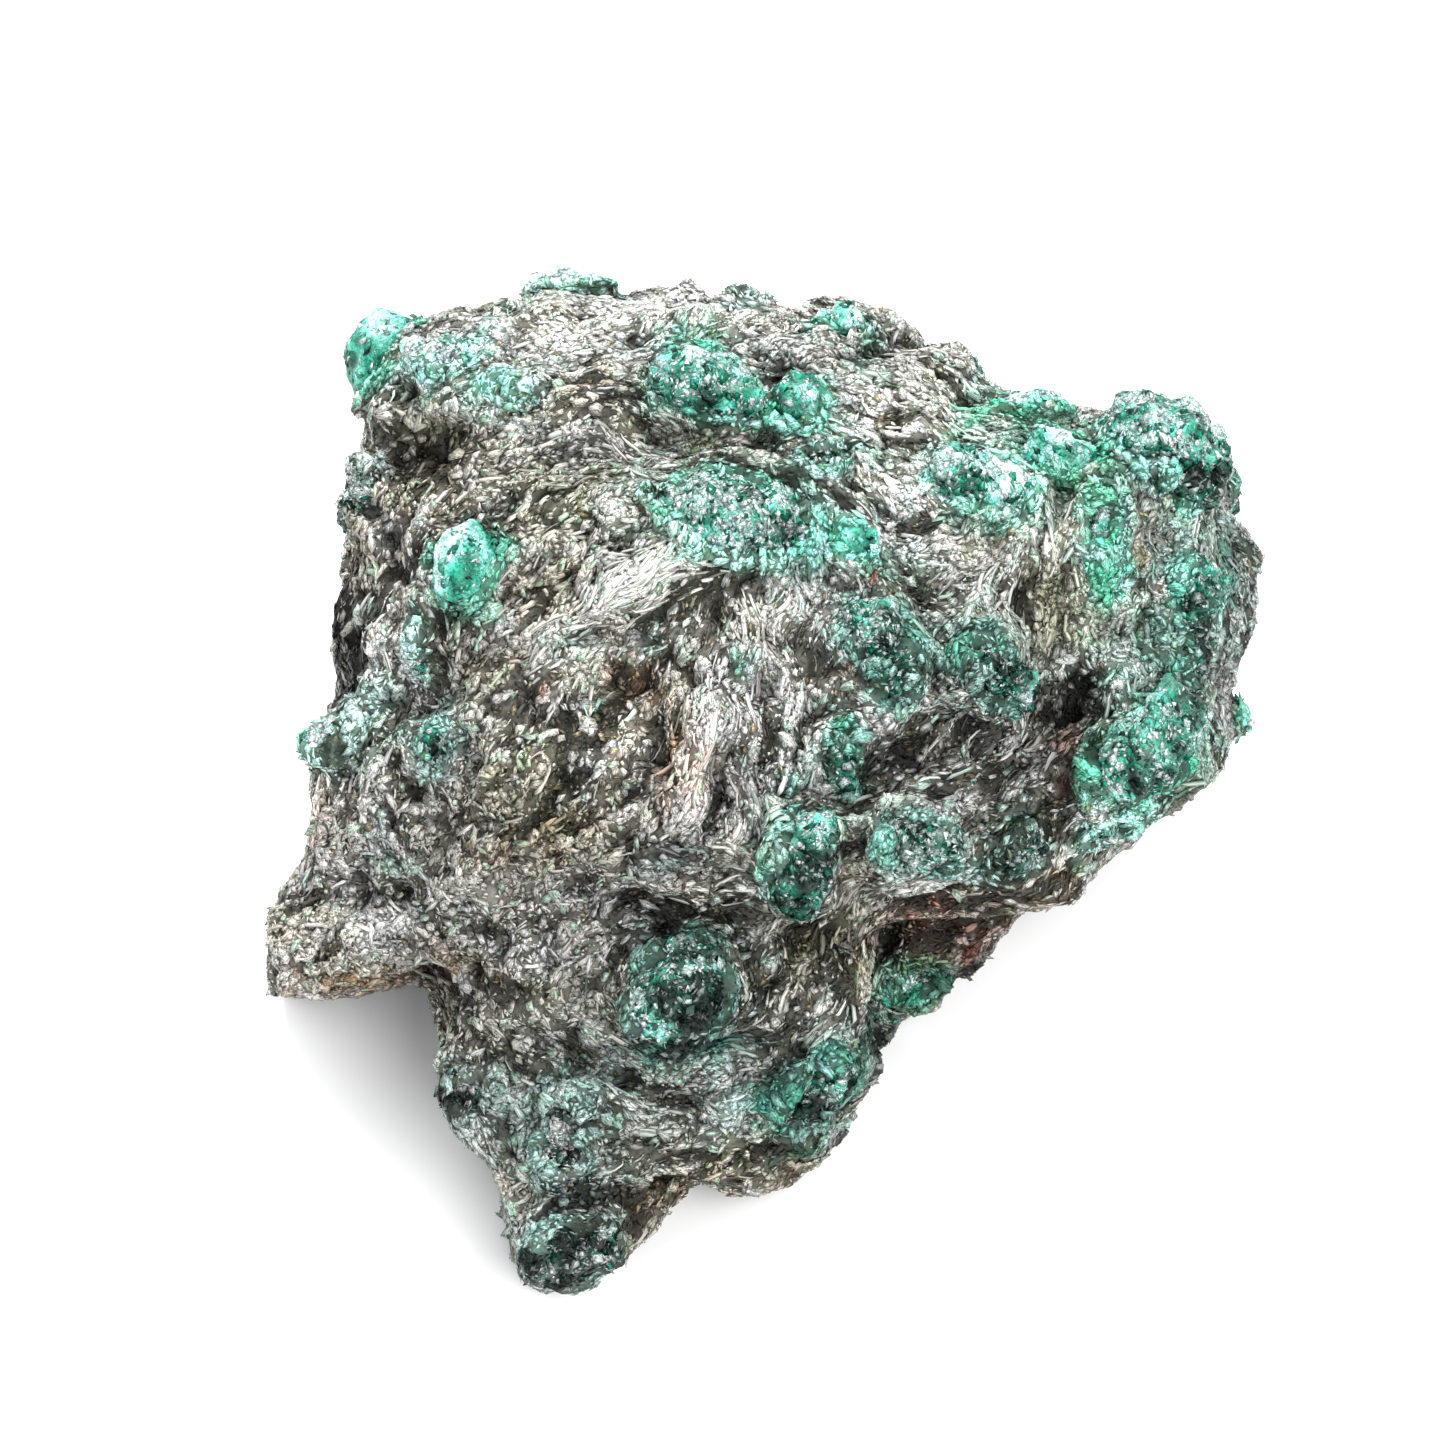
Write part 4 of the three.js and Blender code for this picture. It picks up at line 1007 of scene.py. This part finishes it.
# lies each flake along the mica, a little rolled and tipped, as a closed inverted pyramid
def layFlakes(name, style, place, normal, along, colours, spin, calm, random, material):
    count = len(place)
    calm = calm * (1 - flakeShape["edgeCalm"] * turningAway(normal))
    along = unit(along - normal * np.einsum("ij,ij->i", along, normal)[:, None])
    along = turned(along, normal, random.normal(size=count) * spin)
    up = turned(normal, along, random.normal(size=count) * math.radians(style["roll"]) * calm)
    across = np.cross(up, along)
    tip = random.normal(size=count) * math.radians(style["pitch"]) * calm
    along = along * np.cos(tip)[:, None] + up * np.sin(tip)[:, None]
    up = unit(np.cross(along, across))
    short, long = style["length"]
    length = short + (long - short) * random.random(count) ** flakeShape["longAreRare"]
    wider = flakeShape["widthPlain"] + flakeShape["widthByLength"] * length / short
    width = np.minimum(random.uniform(*style["width"], count) * wider, length)
    centre = place + normal * (random.uniform(*style["lift"], count) * calm)[:, None]
    depth = random.uniform(*style["depth"], count)
    sides = style["sides"]
    sway = flakeShape["cornerSway"]
    angles = (np.arange(sides)[None] + random.uniform(-sway, sway, (count, sides))) * 2 * math.pi / sides
    reach = random.uniform(*flakeShape["cornerReach"], (count, sides))
    x = np.cos(angles) * reach * length[:, None] / 2
    y = np.sin(angles) * reach * width[:, None] / 2
    corners = np.zeros((count, sides + 1, 3))
    corners[:, :sides] = centre[:, None] + x[:, :, None] * along[:, None] + y[:, :, None] * across[:, None]
    corners[:, sides] = centre - up * depth[:, None]
    corners[:, :, 2] = np.maximum(corners[:, :, 2], flakeShape["floor"])
    pattern = np.zeros((count, sides + 1, 3))
    pattern[:, :sides, :2] = np.array(rims[sides])
    pattern[:, :, 2] = random.uniform(0, flakeShape["patterns"], (count, 1))
    first = np.arange(count)[:, None] * (sides + 1)
    top = first + np.arange(sides)[None]
    walls = np.stack([np.roll(top, -1, 1), top, np.repeat(first + sides, sides, 1)], 2)
    return buildPiece(name, corners.reshape(-1, 3), [top, walls.reshape(-1, 3)], pattern.reshape(-1, 3),
                      np.repeat(colours, sides + 1, 0), material)


leafShape = {"longAreRare": 1.6, "onward": 0.6, "wander": 0.12, "widthSway": (0.7, 1.2)}


# the path of each leaf along the lay of the mica, and which way is up on it
def traceLeaves(ground, nearest, place, length, stations, random):
    count = len(place)
    step = (length / (stations - 1))[:, None]
    heading = ground["lay"][nearest] * random.choice([-1.0, 1.0], count)[:, None]
    path = np.zeros((count, stations, 3))
    ups = np.zeros((count, stations, 3))
    spot = place.copy()
    for i in range(stations):
        normal = ground["normals"][nearest]
        spot = spot - normal * np.einsum("ij,ij->i", spot - ground["points"][nearest], normal)[:, None]
        path[:, i] = spot
        ups[:, i] = normal
        lay = ground["lay"][nearest]
        lay = lay * np.where(np.einsum("ij,ij->i", lay, heading) < 0, -1.0, 1.0)[:, None]
        stray = random.normal(size=(count, 3)) * leafShape["wander"]
        heading = unit(leafShape["onward"] * heading + lay + stray)
        spot = spot + heading * step
        nearest = np.array([ground["tree"].find(point)[1] for point in spot])
    path[:, 1:-1] = (path[:, :-2] + 2 * path[:, 1:-1] + path[:, 2:]) / 4
    ups[:, 1:-1] = unit(ups[:, :-2] + ups[:, 1:-1] + ups[:, 2:])
    return path, ups


# a leaf is a long thin closed wedge with pointed ends
def layLeaves(name, style, ground, place, nearest, colours, random, material):
    count = len(place)
    stations = style["stations"]
    short, long = style["length"]
    length = short + (long - short) * random.random(count) ** leafShape["longAreRare"]
    path, ups = traceLeaves(ground, nearest, place, length, stations, random)
    heading = unit(np.gradient(path, axis=1))
    across = unit(np.cross(ups, heading))
    ups = np.cross(heading, across)
    calm = 1 - flakeShape["edgeCalm"] * turningAway(ups[:, stations // 2])
    roll = random.normal(size=count) * math.radians(style["roll"]) * calm
    side = across * np.cos(roll)[:, None, None] + ups * np.sin(roll)[:, None, None]
    width = random.uniform(*style["width"], count)[:, None]
    width = width * random.uniform(*leafShape["widthSway"], (count, stations))
    lift = (random.uniform(*style["lift"], count) * calm)[:, None, None]
    middle = path + ups * lift
    half = side * (width / 2)[:, :, None]
    sunk = middle - ups * random.uniform(*style["depth"], count)[:, None, None]
    inner = np.stack([middle + half, middle - half, sunk], 2)[:, 1:-1].reshape(count, -1, 3)
    corners = np.concatenate([sunk[:, :1], inner, sunk[:, -1:]], 1)
    corners[:, :, 2] = np.maximum(corners[:, :, 2], flakeShape["floor"])
    size = corners.shape[1]
    pattern = np.zeros((count, size, 3))
    pattern[:, 1:-1:3, 1] = 1
    pattern[:, 2:-1:3, 1] = -1
    pattern[:, :, 2] = random.uniform(0, flakeShape["patterns"], (count, 1))
    tips, quads = [], []
    last = size - 4
    for j in range(3):
        k = (j + 1) % 3
        tips += [(0, 1 + k, 1 + j), (last + j, last + k, size - 1)]
        for i in range(stations - 3):
            near = 1 + 3 * i
            quads.append((near + j, near + k, near + 3 + k, near + 3 + j))
    first = (np.arange(count) * size)[:, None, None]
    tips = (np.array(tips)[None] + first).reshape(-1, 3)
    quads = (np.array(quads)[None] + first).reshape(-1, 4)
    return buildPiece(name, corners.reshape(-1, 3), [tips, quads], pattern.reshape(-1, 3),
                      np.repeat(colours, size, 0), material)


paleGreen = {"share": 0.12, "tint": (0.75, 1.0, 0.87)}
brightest = {"mica": 0.85, "fleck": 0.75}


def paintFlakes(base, brightness, stain, random):
    colours = np.array(base)[None] * brightness[:, None] * stain
    faint = random.random(len(stain)) < paleGreen["share"]
    colours[faint] *= np.array(paleGreen["tint"])
    return np.clip(colours, 0, brightest["mica"])


# where broad blades of white mica lie together: an oval and its share
ridges = [
    (-9.5, 13.4, 5, 1.4, 36, 1), (-5.4, 13.4, 2.2, 1.1, 25, 1), (-5, 15.8, 1.8, 0.9, 10, 1),
    (-2.3, -4, 1.4, 5, -6, 0.16), (-2.4, 1.6, 1.6, 0.8, 30, 0.3), (3, -9.6, 3, 0.8, -14, 0.4),
    (29.2, 24.4, 4.2, 0.7, -51, 0.4), (5.4, 11.4, 3.4, 0.8, 26, 0.3), (11, -30, 1.2, 1.8, 40, 0.25),
]
# one entry for each kind of mica: lengths in mm, angles in degrees, shine draws it to bright or dark places
minerals = {
    "silverSheets": {"kind": "flake", "count": 12000, "length": (1.1, 2.9), "width": (0.6, 1.25),
                     "depth": (0.25, 0.45), "lift": (0.02, 0.28), "roll": 19, "pitch": 12, "spin": 0.4,
                     "sides": 5, "shine": 0.7, "base": (0.59, 0.59, 0.57), "bright": (0.61, 0.97)},
    "silverLeaves": {"kind": "leaf", "count": 5000, "length": (1.5, 4.6), "width": (0.25, 0.65),
                     "stations": 5, "depth": (0.3, 0.5), "lift": (0.05, 0.32), "roll": 38, "shine": 1.0,
                     "base": (0.62, 0.62, 0.60), "bright": (0.6, 0.96)},
    "silverBlades": {"kind": "leaf", "count": 460, "length": (1.6, 4.2), "width": (0.28, 0.6),
                     "stations": 5, "depth": (0.3, 0.5), "lift": (0.1, 0.4), "roll": 26, "spots": ridges,
                     "base": (0.72, 0.72, 0.70), "bright": (0.5, 1.02)},
    "darkLeaves": {"kind": "leaf", "count": 3000, "length": (1.5, 4.6), "width": (0.18, 0.45),
                   "stations": 5, "depth": (0.3, 0.5), "lift": (0.0, 0.22), "roll": 34, "shine": -0.9,
                   "base": (0.085, 0.084, 0.072), "bright": (0.1, 1.7)},
    "silverPlates": {"kind": "flake", "count": 32000, "length": (0.5, 1.8), "width": (0.32, 0.85),
                     "depth": (0.15, 0.3), "lift": (0.02, 0.32), "roll": 24, "pitch": 14, "spin": 0.5,
                     "sides": 4, "shine": 0.92, "base": (0.69, 0.69, 0.67), "bright": (0.58, 0.93)},
    "silverNeedles": {"kind": "flake", "count": 26000, "length": (0.5, 2.0), "width": (0.14, 0.36),
                      "depth": (0.12, 0.3), "lift": (0.02, 0.32), "roll": 44, "pitch": 9, "spin": 0.26,
                      "sides": 3, "shine": 0.78, "base": (0.69, 0.69, 0.67), "bright": (0.58, 0.93)},
    "darkPlates": {"kind": "flake", "count": 10000, "length": (0.45, 1.5), "width": (0.3, 0.7),
                   "depth": (0.15, 0.3), "lift": (-0.04, 0.2), "roll": 22, "pitch": 13, "spin": 0.5,
                   "sides": 4, "shine": -1.0, "base": (0.125, 0.123, 0.107), "bright": (0.1, 2.3)},
    "darkNeedles": {"kind": "flake", "count": 27000, "length": (0.5, 2.0), "width": (0.12, 0.3),
                    "depth": (0.12, 0.3), "lift": (-0.04, 0.24), "roll": 40, "pitch": 9, "spin": 0.26,
                    "sides": 3, "shine": -0.9, "base": (0.096, 0.095, 0.082), "bright": (0.1, 2.2)},
    "bronzeFlakes": {"kind": "flake", "count": 7000, "length": (0.5, 1.7), "width": (0.25, 0.7),
                     "depth": (0.15, 0.3), "lift": (0.0, 0.26), "roll": 28, "pitch": 13, "spin": 0.4,
                     "sides": 4, "shine": -0.2, "base": (0.27, 0.23, 0.15), "bright": (0.3, 1.4)},
}


strewing = {"beneath": 0.55, "foot": 0.12, "footHeight": 0.3, "sharpness": 2.6, "clearOfCrystals": 1.6,
            "leafGrain": 0.8, "leafGap": 1.0, "leafGapWidth": 2.4, "chanceLevel": 0.6, "shineLevel": 0.4,
            "sunkShade": 0.4, "grainSpin": 3.0}


def strewMinerals(ground):
    glossy = {"silver": flakeMaterial("silverMica", 0.15, 0.36, 0.66),
              "dark": flakeMaterial("darkMica", 0.1, 0.22, 0.55),
              "bronze": flakeMaterial("bronzeMica", 0.25, 0.25, 0.55)}
    down = np.where(ground["normals"][:, 2] < -0.3, strewing["beneath"], 1.0)
    place = toFace(ground["points"])
    onFace = fadeBehind(place, "stains")
    for i, (name, style) in enumerate(minerals.items()):
        random = np.random.default_rng(100 + i)
        if "spots" in style:
            weights = sum(share * ovalWeight(place, *oval) for *oval, share in style["spots"]) * onFace
        else:
            weights = 1 / (1 + np.exp(-strewing["sharpness"] * style["shine"] * ground["shine"]))
        weights *= (1 - np.clip(ground["onCrystal"] * strewing["clearOfCrystals"], 0, 1)) * down
        weights *= np.where(ground["points"][:, 2] < strewing["footHeight"], strewing["foot"], 1.0)
        if style["kind"] == "leaf" and "spots" not in style:
            clear = np.clip((ground["away"] - strewing["leafGap"]) / strewing["leafGapWidth"], 0.0, 1)
            weights *= (1 - strewing["leafGrain"] * ground["grain"]) * clear
        spot, normal, nearest = scatter(ground, weights, style["count"], random)
        low, high = style["bright"]
        level = strewing["chanceLevel"] * random.random(style["count"])
        level = level + strewing["shineLevel"] / (1 + np.exp(-2.0 * ground["shine"][nearest]))
        # flakes in hollows are darkened, a painted shade
        shaded = 1 - strewing["sunkShade"] * ground["sunk"][nearest]
        brightness = (low + (high - low) * level) * shaded
        colours = paintFlakes(style["base"], brightness, ground["stain"][nearest], random)
        mica = glossy[next(key for key in glossy if name.startswith(key))]
        if style["kind"] == "leaf":
            layLeaves(name, style, ground, spot, nearest, colours, random, mica)
        else:
            spin = style["spin"] * (1 + strewing["grainSpin"] * ground["grain"][nearest])
            lay = ground["lay"][nearest]
            layFlakes(name, style, spot, normal, lay, colours, spin, 1.0, random, mica)


# upper makes the top of each crystal lighter, a painted light
emerald = {"voxelShare": 28, "smallest": 0.00022, "smooth": 3, "grow": 0.15,
           "lump": 0.9, "lumpSize": 2.2, "fine": 0.5, "fineSize": 0.85,
           "roughLeast": 0.3, "roughRise": 1.1, "roughMost": 1.15,
           "mottle": 0.9, "mottleSize": 2.2, "mottlePlain": 1.12, "mottleMint": 0.42,
           "deepen": 0.1, "upper": 0.3, "fineTone": 0.15, "glowDepth": -20,
           "frost": 0.75, "frostSize": 1.3, "frostLevel": 0.55, "frostSway": 1.6, "frostGrey": 0.2,
           "stops": (0.0, 0.25, 0.5, 0.75, 1.0, 1.3),
           "tones": ((0.002, 0.012, 0.008), (0.003, 0.038, 0.025), (0.005, 0.105, 0.065),
                     (0.015, 0.225, 0.145), (0.12, 0.44, 0.355), (0.43, 0.67, 0.61))}
otherCrystals = (0.45, 0.7)
# how light each crystal is, and how much of it mica covers
crystals = {
    "corner_knob": (0.87, 0.12), "left_shoulder": (1.24, 0.95), "shoulder_bead": (1.4, 1.5),
    "crown_knob": (1.25, 0.3), "crown_bead": (1.08, 0.3), "brow": (0.8, 0.5), "brow_prism": (0.9, 0.3),
    "cheek_bead": (0.62, 0.95), "great_oval": (0.85, 0.75), "bright_bead": (0.82, 0.2),
    "wedge": (1.06, 0.5), "ridge": (0.7, 0.6), "saddle_upper": (1.35, 0.5), "saddle_lower": (1.08, 0.3),
    "right_knob": (0.79, 0.7), "upright_splinter": (0.98, 0.85), "right_edge": (0.5, 0.6),
    "right_cheek": (0.67, 0.65), "right_hip": (0.3, 0.6), "mint_slope": (0.67, 0.5), "spur": (0.92, 0.2),
    "ledge_corner": (1.0, 0.9), "eye": (0.95, 0.15), "eye_tail": (1.32, 1.15),
    "dark_column": (0.59, 0.8), "dark_shelf": (0.51, 0.78), "rib_splinter": (0.6, 0.6),
    "long_prism": (0.54, 0.6), "pale_ledge": (0.52, 1.05), "teal_ledge": (0.54, 1.1),
    "heart": (0.2, 0.75), "apron": (0.29, 0.85), "apron_edge": (0.4, 0.8), "undercut_bead": (0.64, 0.95),
    "toe_cap": (0.3, 1.3), "shin": (0.6, 1.7), "skirt_bead": (0.36, 1.7), "left_shelf": (1.6, 1.35),
    "shelf_bead": (0.52, 0.95), "left_flank": (0.78, 1.6), "back_bead": (0.8, 1.5),
}
swell = {
    "crown_knob": 0.5, "corner_knob": -0.3, "back_bead": -1.3, "right_knob": 0.2, "toe_cap": -0.3,
    "heart": -0.25,
}
# lighter and darker places on the crystals, partly their own green and partly painted highlights and
# painted shade: an oval and an amount
glows = [
    (-6.8, -23.8, 1.9, 1.2, 0, 1), (-2.6, -23.4, 1.4, 0.9, 0, 0.8), (-6.6, -29.4, 2, 1.7, 0, 0.9),
    (-8.6, -26.8, 1.2, 1.3, 0, 0.5), (-1.4, -27.2, 3, 2.4, 0, -0.2), (-36.8, 37.4, 1.4, 2.6, 0, -0.14),
    (-34, 40, 2.4, 0.9, 0, 0.22), (-35.4, 32, 2.2, 1.6, 0, -0.32), (-33, 37, 1.2, 0.8, 30, -0.15),
    (-24, 17, 1.5, 1.2, 30, -0.12), (-23.6, 12.8, 2.6, 1.3, 0, -0.38), (-22.6, 15.2, 1.8, 0.8, 30, 0.2),
    (-26.6, 18.6, 2.2, 1.3, 0, 0.3), (-27.4, 15, 1.4, 2.4, 0, 0.2), (-9, 22, 4, 3, 0, 0.1),
    (-2.8, 32.6, 2.8, 2, 0, -0.32), (-5, 36, 4, 1.4, 0, 0.25), (9.6, 32, 2, 2.4, 0, 0.1),
    (6, 31, 1.4, 2, 0, -0.25), (6.4, 20.4, 2.2, 2.6, 0, -0.2), (1.8, 19, 1.6, 1.4, 0, 0.3),
    (-2, 24, 5, 1.2, -8, 0.2), (28.6, 24.4, 1.3, 2.4, 0, 0.35), (23.2, 23.4, 1.8, 1.4, 0, -0.3),
    (32.4, 27, 2, 1.2, 0, -0.15), (47.4, 24, 3, 1.8, 30, -0.4), (48, 30.8, 2.4, 1.4, -30, 0.6),
    (41.4, 29, 2, 2, 0, 0.15), (42, 24, 2.4, 1.2, 0, -0.2), (13.6, 7.4, 0.9, 2.2, 0, 0.6),
    (15.6, 4.2, 1.4, 3, 0, -0.3), (28.6, 3.2, 1.6, 1.6, 0, 0.3), (26.6, 6.6, 1.6, 1.2, 0, -0.25),
    (38, -7, 2.4, 2.4, 0, 0.3), (46.6, -6, 2.6, 3, 0, -0.25), (41.6, 0.6, 2.4, 1.8, 0, 0.25),
    (8, -11, 1.2, 3, 0, 0.2), (-16.6, -55, 4, 3, 0, -0.1), (36, 34, 3, 2, 0, 0.2),
]
# mica on the crystals; perArea is flakes for each square mm
flecks = {
    "crystalNeedles": {"perArea": 3.6, "length": (0.5, 1.6), "width": (0.14, 0.34), "depth": (0.12, 0.24),
                       "lift": (0.0, 0.16), "roll": 26, "pitch": 10, "sides": 3, "spin": 0.4},
    "crystalPlates": {"perArea": 4.6, "length": (0.5, 1.7), "width": (0.35, 0.85), "depth": (0.14, 0.26),
                      "lift": (0.0, 0.14), "roll": 17, "pitch": 11, "sides": 4, "spin": 0.6},
}


def lookOf(name):
    return crystals.get(name.replace("emerald_", ""), otherCrystals)


# the green of a crystal at each tone, from near black at 0 to milky mint at the last stop
def rampColour(value):
    tones = np.array(emerald["tones"])
    return np.stack([np.interp(value, emerald["stops"], tones[:, i]) for i in range(3)], 1)


# a silvery film of mica over the green
def frosted(colours, amount):
    silver = (0.3 * colours[:, 0] + 0.7 * colours[:, 1])[:, None] * np.array([0.93, 1.0, 0.97])
    return colours + amount[:, None] * (silver - colours)


def growEmeralds():
    crystalPaint = emeraldMaterial()
    surfaces = []
    for i, name in enumerate(crystalNames):
        piece = copyOfNode(name, name.replace("emerald_", "crystal_"))
        low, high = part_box(name)
        voxel = max(emerald["smallest"], max(high - low) / emerald["voxelShare"])
        applyModifier(piece, "REMESH", mode="VOXEL", voxel_size=voxel, adaptivity=0.0)
        applyModifier(piece, "SMOOTH", factor=0.5, iterations=emerald["smooth"])
        points, normals = pointsOf(piece), normalsOf(piece)
        lump = cloud(points, emerald["lumpSize"], 1.0 + i)
        fine = cloud(points, emerald["fineSize"], 3.0 + i)
        mint, coat = lookOf(name)
        rough = min(emerald["roughLeast"] + emerald["roughRise"] * coat, emerald["roughMost"])
        relief = (emerald["lump"] * lump + emerald["fine"] * fine) * rough
        height = emerald["grow"] + swell.get(name.replace("emerald_", ""), 0) + relief
        moved = points + normals * height[:, None]
        moved[:, 2] = np.maximum(moved[:, 2], 0)
        setPoints(piece, moved)
        mottle = cloud(points, emerald["mottleSize"], 20.0 + i) * emerald["mottle"]
        mottle = mottle * (emerald["mottlePlain"] - emerald["mottleMint"] * mint)
        place = toFace(points)
        # the part of each crystal higher up the display face, towards the lamp, is made lighter: painted
        # light
        upper = (place[:, 1] - place[:, 1].mean()) / (np.ptp(place[:, 1]) + 1e-6)
        tone = mint - emerald["deepen"] + mottle + emerald["upper"] * upper + emerald["fineTone"] * fine
        for *oval, amount in glows:
            tone += amount * ovalWeight(place, *oval) * (place[:, 2] > emerald["glowDepth"])
        frost = emerald["frostLevel"] + emerald["frostSway"] * cloud(points, emerald["frostSize"], 40.0 + i)
        frost = np.clip(coat * frost, 0, 1) * (emerald["frost"] + emerald["frostGrey"] * max(coat - 1, 0))
        setColours(piece, "tone", frosted(rampColour(tone), frost))
        piece.data.materials.append(crystalPaint)
        selectOnly(piece)
        bpy.ops.object.shade_smooth()
        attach(piece, "root")
        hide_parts(name)
        surfaces.append({"points": moved, "normals": normalsOf(piece), "triangles": trianglesOf(piece),
                         "tone": tone, "coat": np.full(len(points), coat)})
    start = 0
    joined = {key: [] for key in surfaces[0]}
    for surface in surfaces:
        for key, value in surface.items():
            joined[key].append(value + start if key == "triangles" else value)
        start += len(surface["points"])
    print("emeralds grown", start, "points")
    return {key: np.concatenate(value) for key, value in joined.items()}


coating = {"bareCover": 0.08, "deepest": -0.3, "toneLift": 0.06, "toneSway": 0.18, "greyFrost": 0.8,
           "clump": 0.5, "clumpSize": 1.2, "paleLeast": 0.05, "palePlain": 0.12, "paleCoat": 0.59,
           "paleTone": (0.44, 0.85), "paleRange": (0.2, 1.3), "mint": (0.53, 0.61, 0.585),
           "greyShift": (0.09, -0.02, 0.0), "mintTone": (0.42, 0.9), "mintRange": (0.3, 1.15),
           "light": (0.55, 1.35), "blend": (0.65, 1.0), "darkFrom": 0.82, "darkDrop": (0.1, 0.65),
           "calmLeast": 0.4}


# flakes on the crystals: most are pale where mica coats them, and a few are darker than the green below
def strewFlecks(surface, ground):
    mica = flakeMaterial("fleckMica", 0.1, 0.2, 0.5)
    area = doubleAreas(surface) / 2
    cover = coating["bareCover"] + (1 - coating["bareCover"]) * np.minimum(surface["coat"], 1)
    covered = (area * cover[surface["triangles"][:, 0]]).sum()
    for i, (name, style) in enumerate(flecks.items()):
        random = np.random.default_rng(300 + i)
        count = int(covered * style["perArea"])
        place, normal, nearest = scatter(surface, cover, count, random)
        rock = np.array([ground["tree"].find(point)[1] for point in place])
        above = np.einsum("ij,ij->i", place - ground["points"][rock], ground["normals"][rock])
        outside = above > coating["deepest"]
        place, normal, nearest, rock = place[outside], normal[outside], nearest[outside], rock[outside]
        count = len(place)
        coat = np.minimum(surface["coat"][nearest], 1)
        grey = np.clip(surface["coat"][nearest] - 1, 0, 1)
        tone = surface["tone"][nearest]
        toned = tone + coating["toneLift"] + random.normal(size=count) * coating["toneSway"]
        colours = frosted(rampColour(toned), coating["greyFrost"] * grey)
        draw = random.random(count) + coating["clump"] * cloud(place, coating["clumpSize"], 95.0)
        level, rise = coating["paleTone"]
        share = (coating["palePlain"] + coating["paleCoat"] * coat) * np.clip(
            level + rise * tone, *coating["paleRange"])
        pale = draw < coating["paleLeast"] + share
        level, rise = coating["mintTone"]
        mint = np.array(coating["mint"]) + grey[:, None] * np.array(coating["greyShift"])
        mint = mint * np.clip(level + rise * tone, *coating["mintRange"])[:, None]
        light = mint * random.uniform(*coating["light"], (count, 1))
        blend = random.uniform(*coating["blend"], (count, 1))
        colours[pale] = (light * blend + colours * (1 - blend))[pale]
        dark = draw > coating["darkFrom"]
        colours[dark] = rampColour(tone[dark] - random.uniform(*coating["darkDrop"], dark.sum()))
        colours = np.clip(colours, 0, brightest["fleck"])
        calm = coating["calmLeast"] + (1 - coating["calmLeast"]) * coat
        layFlakes(name, style, place, normal, ground["lay"][rock], colours, style["spin"], calm, random,
                  mica)


setStudio()
print("studio set")
skin, ground = growSchist()
skin.data.materials.append(schistMaterial())
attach(skin, "root")
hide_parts("schist_matrix")
strewMinerals(ground)
strewFlecks(growEmeralds(), ground)
